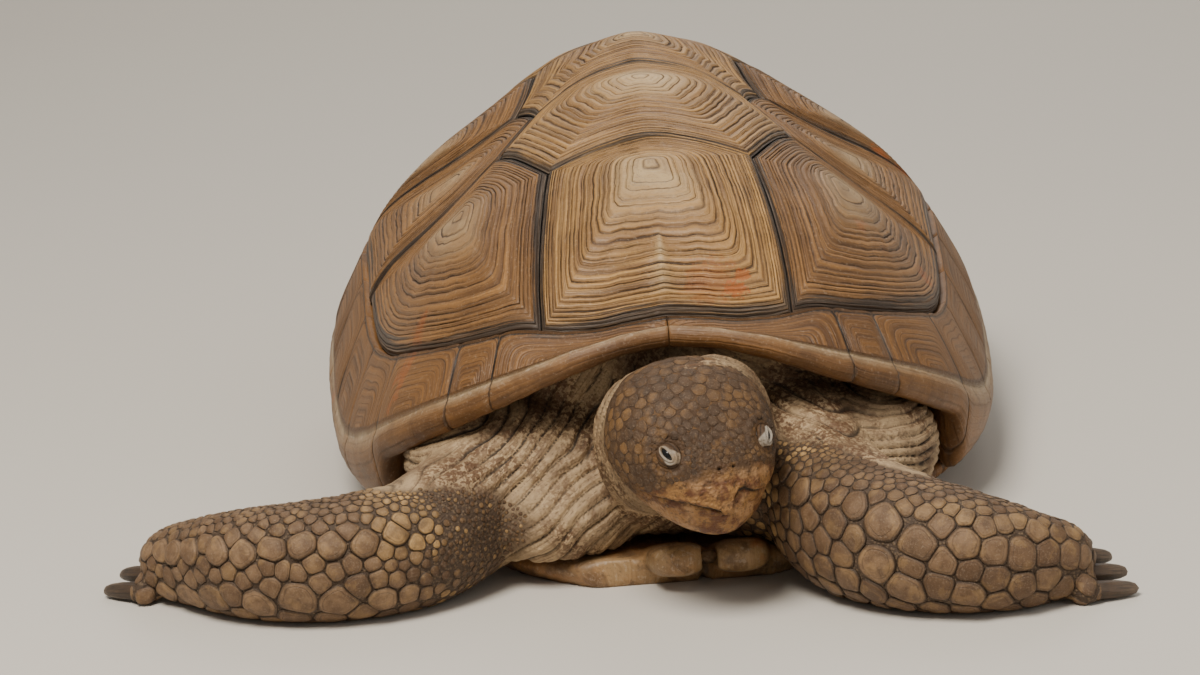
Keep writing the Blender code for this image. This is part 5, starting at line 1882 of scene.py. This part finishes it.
@dataclass
class ScaleCoat:
    """Overlying horn scales on one stretch of skin, each a closed domed plate in its own cell."""

    name: str
    skin: Skin
    lie: Callable[[Array], Pair]  # share along and degrees around of places
    half: Maker  # half width of the scales from their lie
    seed: int
    count: int = 30000
    placed: tuple = ()  # share, degrees, half width and height of scales set one by one
    rounding: Maker | None = None  # the most that a cell is filled, in half widths
    height: Callable | None = None  # height of the scales from their lie and half width
    gap: float = 0.00022
    power: float = 10.0
    big: float = 0.0062
    overlap: float = 0.25
    sink: float = 0.0007
    most_scales: int = 5990
    size_step: float = 0.001  # half widths this alike are picked in a random order
    room: float = 0.80  # share of two half widths that two scales keep between them
    neighbours: int = 15
    fill: float = 1.08
    lobed: float = 0.22  # how far the outlines stray from round
    grain: float = 0.00022
    # points around; share out and share of the height of each ring, from the top to the foot
    large_form: tuple = (
        24, (0, 0.40, 0.68, 0.85, 0.95, 1.0, 0.93), (1.0, 0.97, 0.88, 0.68, 0.38, -0.10, -0.6))
    small_form: tuple = (10, (0, 0.58, 0.88, 1.0, 0.9), (1.0, 0.88, 0.48, -0.10, -0.6))

    def sown(self, places: Array, halves: Array, first: Array, draw: np.random.Generator) -> Array:
        """Picks places that leave room for each other, the widest scales first.

        Args:
            places: places to pick from.
            halves: half widths there.
            first: places given one by one.
            draw: the random source.

        Returns:
            Indices of the picked places.
        """
        widest = np.argsort(-(np.round(halves / self.size_step) + draw.random(len(halves))))
        at, size, taken = np.empty((self.most_scales, 3)), np.empty(self.most_scales), []
        for k in np.concatenate([first, widest]).astype(int):
            n = len(taken)
            apart = self.room * (size[:n] + halves[k])
            if n >= len(first) and (((at[:n] - places[k]) ** 2).sum(1) < apart**2).any():
                continue
            if n >= self.most_scales:
                break
            at[n], size[n] = places[k], halves[k]
            taken.append(k)
        return np.array(taken)

    def settled(self, places: Array, at: Array, halves: Array, fixed: int,
                rounds: int = 5) -> tuple[Array, Array, Array]:
        """Lets the picked scales shift until they share the skin evenly.

        Args:
            places: places spread over the skin.
            at: where the scales are.
            halves: their half widths.
            fixed: how many of the first stay where they are.
            rounds: how often they shift.

        Returns:
            Places, directions outward and half widths of the scales.
        """
        for _ in range(rounds):
            near = np.concatenate([
                np.argmin(((part[:, None] - at[None]) ** 2).sum(-1) / halves[None] ** 2, axis=1)
                for part in np.array_split(places, max(1, len(places) * len(at) // PAIRS))])
            total = np.stack([np.bincount(near, places[:, k], len(at)) for k in range(3)], -1)
            number = np.bincount(near, minlength=len(at))
            moved = np.where(number[:, None] > 2, total / np.maximum(number, 1)[:, None], at)
            moved[:fixed] = at[:fixed]
            at = moved
        at, out = self.skin.nearest(at)
        halves[fixed:] = self.half(*self.lie(at[fixed:]))
        return at, out, halves

    def reaches(self, at: Array, east: Array, north: Array, halves: Array, limit: Array,
                around: Array) -> Array:
        """How far each scale reaches in each direction before it meets its neighbours.

        Args:
            at: where the scales are.
            east: their first directions.
            north: their second directions.
            halves: their half widths.
            limit: the farthest that they reach.
            around: the directions as angles.

        Returns:
            One row for each scale and one column for each direction.
        """
        tree = KDTree(len(at))
        for k, p in enumerate(at.tolist()):
            tree.insert(p, k)
        tree.balance()
        count = min(self.neighbours, len(at))
        found = np.array([[f[1] for f in tree.find_n(p, count)] for p in at.tolist()])[:, 1:]
        toward = at[found] - at[:, None]
        x, y = (toward * east[:, None]).sum(-1), (toward * north[:, None]).sum(-1)
        far = np.linalg.norm(toward, axis=-1)
        room = np.maximum(far * halves[:, None] / (halves[:, None] + halves[found]) - self.gap, 0.0004)
        facing = np.maximum(np.cos(around[None, None] - np.arctan2(y, x)[..., None]), 0)
        total = ((facing / room[..., None]) ** self.power).sum(1) + limit ** -self.power
        return total ** (-1 / self.power)

    def model(self, columns: int, rings: int) -> tuple[Array, list[tuple[int, ...]], Array]:
        """One scale as a round form.

        Args:
            columns: points around.
            rings: rings from the top to the foot.

        Returns:
            Angle of each point, faces, and ring of each point; ring 0 is the top and the last is the foot.
        """
        piece = ball(columns, rings + 1)
        at = points_of(piece)
        faces = [tuple(p.vertices) for p in piece.data.polygons]
        ring = np.rint(np.arccos(np.clip(at[:, 2], -1, 1)) / np.pi * (rings + 1)).astype(int)
        bpy.data.objects.remove(piece)
        return np.arctan2(at[:, 1], at[:, 0]), faces, ring

    def build(self, material: Material, keep: Array, tones: Callable, slot: str = "skin") -> None:
        """Builds and dresses the coat.

        Args:
            material: its finish.
            keep: which points of the skin may carry scales.
            tones: gives paleness and amber of the scales from lie, half width and a random number.
            slot: the material slot; not used.
        """
        draw = np.random.default_rng(self.seed)
        places = self.skin.scattered(keep, self.count, draw)
        share, degrees = self.lie(places)
        halves = self.half(share, degrees)
        first = []
        for s, a, size, *_ in self.placed:
            turn = (degrees - a + 180) % 360 - 180
            k = int(np.argmin(((share - s) * 0.42) ** 2 + (turn * 0.0007) ** 2))
            halves[k] = size
            first.append(k)
        taken = self.sown(places, halves, np.array(first), draw)
        fixed = len(first)
        at, out, halves = self.settled(places, places[taken], halves[taken].copy(), fixed)
        share, degrees = self.lie(at)
        east = unit(np.cross(out, UP))
        ahead_share, _ = self.lie(at + 0.004 * east)
        east = east * np.where(ahead_share >= share, 1, -1)[:, None]
        north = np.cross(out, east)
        most = np.full(len(at), 1.34) if self.rounding is None else self.rounding(share, degrees)
        high = halves * 0.25 if self.height is None else self.height(share, degrees, halves)
        for k, row in enumerate(self.placed):
            high[k] = row[3]
        luck = draw.random(len(at))
        pale, gold = tones(share, degrees, halves, luck)
        corners, faces, marks, maps, start = [], [], {"tone": [], "gold": [], "out": []}, [], 0
        for (columns, spread, rise), use in (
                (self.large_form, halves >= self.big), (self.small_form, halves < self.big)):
            if not use.any():
                continue
            angle, shape, ring = self.model(columns, len(spread) - 1)
            spread, rise = np.array((*spread, 0.0)), np.array((*rise, rise[-1]))
            widest, chance = (halves * most)[:, None], luck[use, None]
            lobes = 0.5 * (chance - 0.2) * self.lobed * np.cos(2 * angle[None] - 1.1 + 3 * chance)
            limit = widest[use] * (1 + lobes)
            reach = self.reaches(at, east, north, halves, widest, angle)[use]
            reach = (reach**-self.power + limit**-self.power) ** (-1 / self.power) * self.fill
            c, s = np.cos(angle)[None, :, None], np.sin(angle)[None, :, None]
            flat = east[use, None] * c + north[use, None] * s
            spots = at[use, None] + flat * (reach * spread[ring][None])[..., None]
            base, normal = self.skin.nearest(spots.reshape(-1, 3))
            base, normal = base.reshape(spots.shape), normal.reshape(spots.shape)
            normal = unit(normal + out[use, None])
            grain = noise(spots.reshape(-1, 3), 0.004, self.seed).reshape(reach.shape)
            level = rise[ring]
            lift = level + self.overlap * np.cos(angle) * (spread[ring] * (level > 0))
            sunk = level[None] * self.sink / 0.6
            lift = np.where(level[None] > 0, lift[None] * high[use, None] + self.grain * grain, sunk)
            solid = base + normal * lift[..., None]
            solid[..., 2] = np.maximum(solid[..., 2], CLEAR)
            number, size = solid.shape[:2]
            corners.append(solid.reshape(-1, 3))
            faces += [tuple(start + size * n + k for k in face) for n in range(number) for face in shape]
            start += number * size
            for key, values in (("tone", pale[use]), ("gold", gold[use])):
                marks[key].append(np.repeat(values, size))
            marks["out"].append(np.tile(spread[ring] + (level < 0) * 0.2, number))
            patch = np.stack([np.cos(angle), np.sin(angle)], -1)[None] * spread[ring][None, :, None] * 0.0015
            root = np.stack([(degrees[use] % 360) / 360 * 0.98 + 0.01, share[use] * 0.98 + 0.01], -1)
            maps.append((root[:, None] + patch).reshape(-1, 2))
        mesh = bpy.data.meshes.new(self.name)
        mesh.from_pydata(np.vstack(corners).tolist(), [], faces)
        piece = shown(self.name, mesh)
        for key, values in marks.items():
            paint(piece, key, np.concatenate(values))
        lay_map(piece, "OFBake", np.vstack(maps))
        mesh.shade_smooth()
        dressed(piece, material, slot)


def table_of(*rows: tuple[float, float]) -> Callable[[Array], Array]:
    """A function that reads a two-column table, smoothly blended."""
    knots, values = np.array(rows).T
    return lambda x: np.interp(x, knots, values)


@dataclass
class Scales:
    """All the scales of the animal."""

    hide: Hide
    head: Head
    spurs: Rows = ((0.42, 175), (0.50, 150), (0.50, -165))  # share along and degrees around the hind legs

    def limb(self, name: str, limb: Limb, skin: Skin, around: Callable, along: Callable, seed: int,
             arm: Array, material: Material, tones: Callable, placed: tuple = (),
             fill: Callable | None = None, rise: Callable | None = None, gap: float = 0.00022,
             count: int = 30000) -> None:
        """Lays scales on one limb.

        Args:
            name: the coat's name.
            limb: the limb.
            skin: the skin that it is part of.
            around: half width by degrees around.
            along: factor by share along.
            seed: the seed of the coat.
            arm: which points of the skin may carry scales.
            material: the finish.
            tones: paleness and amber of scales.
            placed: scales set one by one.
            fill: how far cells are filled.
            rise: height of scales.
            gap: half the width of the seams.
            count: how many places are tried.
        """
        def lie(p: Array) -> Pair:
            """Share along and degrees around of places."""
            s, degrees, _ = limb.lie_of(p)
            return s, degrees

        def half(s: Array, degrees: Array) -> Array:
            """Half widths of the scales from their lie."""
            return np.maximum(around((degrees + 180) % 360 - 180) * along(s), 0.0019)

        ScaleCoat(name, skin, lie, half, seed, count, placed, fill, rise, gap).build(material, arm, tones)

    def forelegs(self, material: Material) -> None:
        """Scales of the two forelegs."""
        skin = self.hide.made["front"]
        x = skin.points[:, 0]
        keep = (FORELEG_RIGHT.scaly(skin.points) > 0.45) & (x < 0)
        row = [(share, 31 + 3 * turn, 0.0100, 0.0040) for share, turn in (
            (0.510, 1), (0.543, -1), (0.585, 0), (0.627, 1), (0.672, 0), (0.716, -1), (0.765, 0), (0.820, 0),
            (0.870, -1))]
        low = [(share, turn, 0.0132, 0.0020) for share, turn in (
            (0.787, -31), (0.712, -32), (0.645, -24), (0.588, -30), (0.850, -34))]
        gilt = [(0.478, 20, 0.0066, 0.0018), (0.463, 34, 0.0066, 0.0018), (0.446, 27, 0.0046, 0.0012),
                (0.495, 41, 0.0068, 0.0018), (0.440, 40, 0.0034, 0.0009), (0.484, 6, 0.0056, 0.0014)]
        around = table_of(
            (-180, .0035), (-100, .0045), (-60, .0105), (-28, .0120), (-12, .0085), (0, .0060),
            (14, .0072), (30, .0098),
            (44, .0072), (54, .0050), (66, .0042), (80, .0034), (100, .0030), (140, .0030), (180, .0035))
        along = table_of((0.30, 0.22), (0.42, 0.32), (0.47, 0.52), (0.52, 0.85), (0.56, 1.0), (0.92, 0.95),
                         (1.0, 0.60))

        def tones(s: Array, a: Array, h: Array, luck: Array) -> Pair:
            """Paleness and amber of the scales."""
            elbow = (1 - smooth(0.50, 0.56, s)) * smooth(0.42, 0.46, s) * smooth(8, 18, a)
            gold = elbow * (0.55 + 0.45 * luck)
            gold += smooth(0.80, 0.90, luck) * 0.7 * (1 - smooth(0.46, 0.54, s))
            pale = 0.20 + 0.45 * luck + 0.35 * hump(a, -34, 22) + 0.20 * hump(a, 30, 14)
            pale -= 0.45 * (1 - smooth(0.44, 0.52, s))
            return np.clip(pale, 0, 1), np.clip(gold, 0, 1)

        self.limb("scales_foreleg_right", FORELEG_RIGHT, skin, around, along, 11, keep, material, tones,
                  tuple(row + low + gilt), lambda s, a: 0.84 + 0.50 * smooth(0.42, 0.52, s),
                  lambda s, a, h: h * (0.27 + 0.07 * smooth(40, 70, a) - 0.12 * smooth(-20, -50, a)))
        keep = (FORELEG_LEFT.scaly(skin.points) > 0.45) & (x > 0)
        chosen = ((0.664, 36, 0.0132, 0.0026), (0.608, 43, 0.0105, 0.0024), (0.700, -26, 0.0138, 0.0024),
                  (0.790, -27, 0.0125, 0.0034), (0.780, 25, 0.0122, 0.0030), (0.852, 20, 0.0112, 0.0030),
                  (0.722, 20, 0.0125, 0.0024), (0.655, -5, 0.0125, 0.0022), (0.705, -2, 0.0085, 0.0018),
                  (0.620, 16, 0.0085, 0.0018), (0.486, 38, 0.0100, 0.0022), (0.550, 36, 0.0078, 0.0018),
                  (0.420, 42, 0.0068, 0.0018), (0.722, 50, 0.0068, 0.0020), (0.772, 50, 0.0068, 0.0022),
                  (0.822, 50, 0.0068, 0.0022), (0.870, 45, 0.0088, 0.0028), (0.860, -20, 0.0105, 0.0026))
        around = table_of(
            (-180, .0040), (-100, .0050), (-60, .0095), (-25, .0115), (0, .0095), (20, .0110), (36, .0105),
            (48, .0076),
            (58, .0062), (68, .0048), (80, .0038), (100, .0032), (150, .0032), (180, .0040))
        along = table_of((0.30, 0.30), (0.40, 0.42), (0.48, 0.70), (0.56, 0.95), (0.92, 1.0), (1.0, 0.62))

        def left_tones(s: Array, a: Array, h: Array, luck: Array) -> Pair:
            """Paleness and amber of the scales."""
            gold = (1 - smooth(0.40, 0.48, s)) * smooth(0.25, 0.7, luck)
            gold += 0.5 * hump(a, 56, 16) * smooth(0.60, 0.70, s) * luck
            pale = 0.12 + 0.45 * luck + 0.35 * smooth(0.0112, 0.0135, h)
            return np.clip(pale, 0, 1), np.clip(gold, 0, 1)

        self.limb("scales_foreleg_left", FORELEG_LEFT, skin, around, along, 12, keep, material,
                  left_tones, chosen, lambda s, a: 0.90 + 0.44 * smooth(0.36, 0.48, s),
                  lambda s, a, h: h * 0.19)

    def hind(self, material: Material) -> None:
        """Scales and spurs of the hind legs, and of the tail."""
        skin = self.hide.made["rear"]
        x = skin.points[:, 0]
        around = table_of((-180, .0060), (-60, .0065), (0, .0052), (60, .0042), (120, .0048), (180, .0060))
        along = table_of((0.0, 0.6), (0.4, 0.8), (0.8, 1.1), (1.0, 0.9))

        def tones(s: Array, a: Array, h: Array, luck: Array) -> Pair:
            """Paleness and amber of the scales."""
            return 0.2 + 0.6 * luck, np.clip(luck * 1.4 - 0.9, 0, 1)

        for side, limb in (("left", HINDLEG_LEFT), ("right", HINDLEG_RIGHT)):
            sign = 1 if side == "left" else -1
            s, _, reach = limb.lie_of(skin.points)
            keep = (s > 0.42) & (reach < 1.5) & (x * sign > 0.03)
            spurs = tuple((share, turn, 0.0085, 0.013) for share, turn in self.spurs)
            self.limb(f"scales_hindleg_{side}", limb, skin, around, along, 21 + sign, keep, material, tones,
                      spurs, None, lambda s, a, h: h * 0.30, count=16000)
        s, _, reach = TAIL.lie_of(skin.points)
        keep = (s > 0.30) & (reach < 1.5) & (np.abs(x) < 0.05)
        small = table_of((-180, .0034), (180, .0034))
        self.limb("scales_tail", TAIL, skin, small, table_of((0, 1.2), (1, 0.7)), 31, keep, material, tones,
                  (), None, lambda s, a, h: h * 0.25, count=9000)

    def crown(self, material: Material) -> None:
        """Small plates of the crown, brows and cheeks."""
        skin = self.hide.made["head"]

        def lie(p: Array) -> Pair:
            """Share along and degrees around of places."""
            along, side, up = self.head.to_local(p).T
            return np.clip((along + 0.045) / 0.12, 0, 1), np.degrees(np.arctan2(side, up + 0.002))

        def half(s: Array, a: Array) -> Array:
            """Half widths of the scales from their lie."""
            size = np.interp(s, [0, 0.25, 0.5, 0.7, 0.85], [0.0042, 0.0046, 0.0042, 0.0028, 0.0019])
            return size * np.interp(np.abs(a), [0, 40, 80, 120, 180], [1.15, 1.0, 1.0, 1.05, 0.9])

        local = self.head.to_local(skin.points)
        along, side, up = local.T
        drop = self.head.mouth_drop(local)
        keep = (along > -0.034) & (along < 0.056) & ((drop > 0.004) | (along < 0.022)) & (up > -0.022)
        keep &= (up > self.head.beak_rise(side) + 0.001) | (along < 0.028)
        for sign in (-1, 1):
            centre, axis, _, _ = self.head.gaze_frame(sign)
            keep &= np.linalg.norm(local - (centre + axis * self.head.eye_front), axis=1) > 0.0118

        def tones(s: Array, a: Array, h: Array, luck: Array) -> Pair:
            """Paleness and amber of the scales."""
            side_share = hump(np.abs(a), 85, 42)
            gold = 0.85 * smooth(0.70, 1.05, luck + 0.28 * side_share * (s < 0.6))
            front = smooth(0.52, 0.72, s)
            return np.clip(0.16 + 0.46 * luck - 0.40 * front, 0, 1), gold * (1 - 0.7 * front)

        ScaleCoat("scales_head", skin, lie, half, seed=41, count=26000, rounding=lambda s,
                  a: np.full(len(s), 1.3),
                  height=lambda s, a, h: h * 0.065, gap=0.00010, big=0.02, overlap=0.05,
                  sink=0.0004).build(material, keep, tones)


@dataclass
class Claws:
    """Blunt claws in curved rows at the ends of the feet."""

    radius: float = 0.0075
    length: float = 0.034
    spacing: float = 0.0158
    flatten: float = 0.80
    tilt: float = 28.0
    spread: float = 9.0
    height: float = 0.0225
    root_low: float = 0.0060
    taper: Rows = ((0, 1.0), (0.30, 1.0), (0.60, 0.93), (0.82, 0.74), (0.93, 0.52), (1.0, 0.02))
    rooted: float = 0.004  # how far the root lies inside the foot
    hind_radius: float = 0.0092
    hind_reach: float = 0.034
    hind_length: float = 0.028
    hind_turns: tuple[float, ...] = (-78, -48, -18, 12)

    def model(self) -> Piece:
        """One claw along +X, root at the origin, with a curved ridge and a worn end."""
        def place(u: Array, v: Array) -> Array:
            """Places of grid points from their two shares."""
            at = np.clip((v - 0.04) / 0.96, 0, 1)
            wide = np.interp(at, *np.array(self.taper).T) * np.clip(v / 0.04, 0, 1) ** 0.5
            a = 2 * np.pi * u
            c, s = cosine_and_sine(u)
            ridge = 1 + 0.05 * np.sin(a * 7) * (1 - at) + 0.03 * np.sin(a * 12 + 1) * (1 - at)
            keel = 1 + 0.10 * hump(a, np.pi / 2, 0.8)
            drop = -0.10 * at**2
            return np.stack([at, c * wide * ridge, s * wide * keel * ridge * self.flatten + drop], -1)

        return wrapped_grid("claw_model", 36, 30, place, lambda u, v: np.stack([u, v], -1))

    def place_one(self, model: Piece, name: str, root: Array, tip: Array, radius: float) -> Piece:
        """Copies the modelled claw to its own root and tip."""
        copy = shown(name, model.data.copy())
        copy.data.name = name
        ahead = tip - root
        along = unit(ahead)
        side = unit(np.cross(along, UP))
        up = np.cross(side, along)
        p = points_of(model)
        rooted = along * self.rooted
        placed = root - rooted + p[:, :1] * (ahead + rooted) + (p[:, 1:2] * side + p[:, 2:3] * up) * radius
        placed[:, 2] = np.maximum(placed[:, 2], FOOT)
        move_points(copy, placed)
        close_up(copy, 1e-5)
        copy.data.shade_smooth()
        return copy

    def row(self, limb: Limb, tilt: float) -> list[Pair]:
        """Roots and tips of the five claws of a forefoot."""
        stations = np.array(limb.stations)[:, :3]
        end, ahead = stations[-1], stations[-1] - stations[-3]
        ahead = unit(ahead * [1, 1, 0])
        across = np.array([-ahead[1], ahead[0], 0])
        row = across * np.cos(np.radians(tilt)) + np.array([0, 0, np.sin(np.radians(tilt))])
        claws = []
        for k in (-2, -1, 0, 1, 2):
            root = end + row * k * self.spacing - ahead * 0.0016 * k * k
            root[2] = max(self.height + row[2] * k * self.spacing, self.root_low)
            a = np.radians(self.spread * k)
            heading = ahead * np.cos(a) + across * np.sin(a)
            tip = root + heading * self.length
            tip[2] = root[2] * 0.72
            claws.append((root, tip))
        return claws

    def build(self, material: Material) -> None:
        """Builds and dresses all the claws."""
        model = self.model()
        for name, limb, tilt in (("right", FORELEG_RIGHT, -self.tilt), ("left", FORELEG_LEFT, self.tilt)):
            for k, (root, tip) in enumerate(self.row(limb, tilt), 1):
                node = f"claw_{name}_{k}"
                claw = self.place_one(model, f"claw_horn_{name}_{k}", root, tip, self.radius)
                dressed(claw, material, "claw", node)
        for name, side in (("left", 1.0), ("right", -1.0)):
            foot = np.array(HINDLEG_LEFT.stations[-2][:3]) * [side, 1, 0]
            claws = []
            for degrees in self.hind_turns:
                a = np.radians(degrees)
                away = np.array([np.cos(a) * side, np.sin(a), 0])
                root = foot + away * self.hind_reach + UP * 0.011
                tip = root + away * self.hind_length - UP * 0.0035
                claws.append(self.place_one(model, "hind_claw", root, tip, self.hind_radius))
            dressed(joined(f"hind_claws_{name}", claws), material, "claw")
        bpy.data.objects.remove(model)


@dataclass(frozen=True)
class Studio:
    """Pale floor, soft light and the camera."""

    position: Spot = (-0.0729, -2.8288, 0.8561)
    aim: Spot = (-0.0438, -0.0560, 0.1043)
    roll: float = 4.326
    lens: float = 115.0
    floor_size: float = 7.0
    backdrop: tuple[float, float] = (0.36, 0.50)  # shares of the floor between which it rises at the back
    backdrop_height: float = 1.3
    lit_at: Spot = (0, 0, 0.12)  # where the lamps are aimed
    air: tuple[float, ...] = (1.0, 0.97, 0.92, 1.0)
    air_strength: float = 0.30
    # name, place, size, power, colour: each lamp faces the animal
    lamps: tuple = (
        ("key", (-0.70, -1.65, 2.75), 1.2, 132.0, (1.0, 0.950, 0.870)),
        ("fill", (2.20, -1.80, 1.50), 2.4, 22.0, (1.0, 0.98, 0.95)),
        ("back", (0.40, 2.40, 2.20), 2.0, 26.0, (1.0, 0.98, 0.94)))

    def build(self, floor_material: Material) -> None:
        """Sets the floor, the lamps, the world and the camera."""
        floor = sheet_of(24, 24, self.floor_size)
        floor.name = floor.data.name = "studio_floor"
        at = points_of(floor)
        edge = smooth(*self.backdrop, np.abs(at[:, 1]) / self.floor_size) * (at[:, 1] > 0)
        at[:, 2] = edge * self.backdrop_height
        move_points(floor, at)
        floor.data.shade_smooth()
        floor.data.materials.append(floor_material)
        for name, place, size, power, colour in self.lamps:
            lamp = bpy.data.lights.new(name, "AREA")
            lamp.size, lamp.energy, lamp.color = size, power, colour
            holder = shown(name, lamp)
            holder.location = place
            holder.rotation_euler = (Vector(self.lit_at) - Vector(place)).to_track_quat("-Z", "Y").to_euler()
        world = bpy.data.worlds.new("studio_air")
        world.use_nodes = True
        sky = world.node_tree.nodes["Background"]
        sky.inputs[0].default_value, sky.inputs[1].default_value = self.air, self.air_strength
        bpy.context.scene.world = world
        self.camera()

    def camera(self) -> None:
        """Sets the camera, turned a little round its own axis."""
        data = bpy.data.cameras.new("camera")
        data.lens, data.sensor_width = self.lens, 36.0
        camera = shown("camera", data)
        place, ahead = Vector(self.position), (Vector(self.aim) - Vector(self.position)).normalized()
        right = ahead.cross(Vector((0, 0, 1))).normalized()
        up = right.cross(ahead)
        turn = np.radians(self.roll)
        level = right * np.cos(turn) - up * np.sin(turn)
        top = right * np.sin(turn) + up * np.cos(turn)
        grid = Matrix((level, top, -ahead)).transposed().to_4x4()
        grid.translation = place
        camera.matrix_world = grid
        bpy.context.scene.camera = camera


def main() -> None:
    """Builds the tortoise piece by piece and sets the studio."""
    logging.basicConfig(level=logging.INFO, format="%(name)s %(message)s")
    lines, weather = make_ring_marks(), make_mottle()
    dome = Carapace()
    plates = HornFinish("plate_horn", flakes=(
        (0.0490, -0.2910, 0.1945, 0.0080, 0.85), (0.0540, -0.2830, 0.2030, 0.0065, 0.75),
        (0.0320, -0.2850, 0.2000, 0.0200, 0.30))).build(lines, weather)
    # a darker copy of the plate horn for the costal plates: painted shade on the dome's sloping sides
    shaded_sides = HornFinish("side_plate_horn_shaded", light=(0.300, 0.146, 0.045), dark=(0.108, 0.050, 0.017),
                       worn=(0.400, 0.265, 0.135), flakes=(
                           (0.1850, 0.0710, 0.1990, 0.0110, 0.80), (0.2000, 0.0720, 0.1830, 0.0105, 0.80),
                           (0.2150, 0.0710, 0.1650, 0.0095, 0.75))).build(lines, weather)
    edge = HornFinish("edge_horn", light=(0.225, 0.103, 0.029), dark=(0.088, 0.039, 0.013),
                      worn=(0.46, 0.33, 0.19), wear=Wear.RUBBED, seam_width=0.7, band_share=0.55,
                      plain_lip=0.45).build(lines, weather)
    under = HornFinish("plastron_horn", light=(0.300, 0.136, 0.043), dark=(0.075, 0.037, 0.017),
                       wear=Wear.SMOOTH, seam_width=1.0, band_share=0.5).build(lines, weather)
    ShellPlates(dome).build(plates, shaded_sides)
    ShellEdge(dome).build(edge)
    Plastron().build(under)
    head = Head()
    hide = Hide(dome, head)
    hide.build(HideFinish().build(weather))
    wet = EyeFinish().build()
    for side in (-1.0, 1.0):
        head.eye(side, wet)
    scales = Scales(hide, head)
    horn = ScaleFinish().build(weather)
    scales.forelegs(horn)
    scales.hind(horn)
    scales.crown(ScaleFinish("head_scales", pale=(0.122, 0.064, 0.026), brown=(0.056, 0.028, 0.011),
                             amber=(0.195, 0.097, 0.028), rim=(0.043, 0.023, 0.011),
                             rim_from=0.94, stained=0.50).build(weather))
    Claws().build(ClawFinish().build(weather))
    Studio().build(FloorFinish().build())


if __name__ == "__main__":
    main()
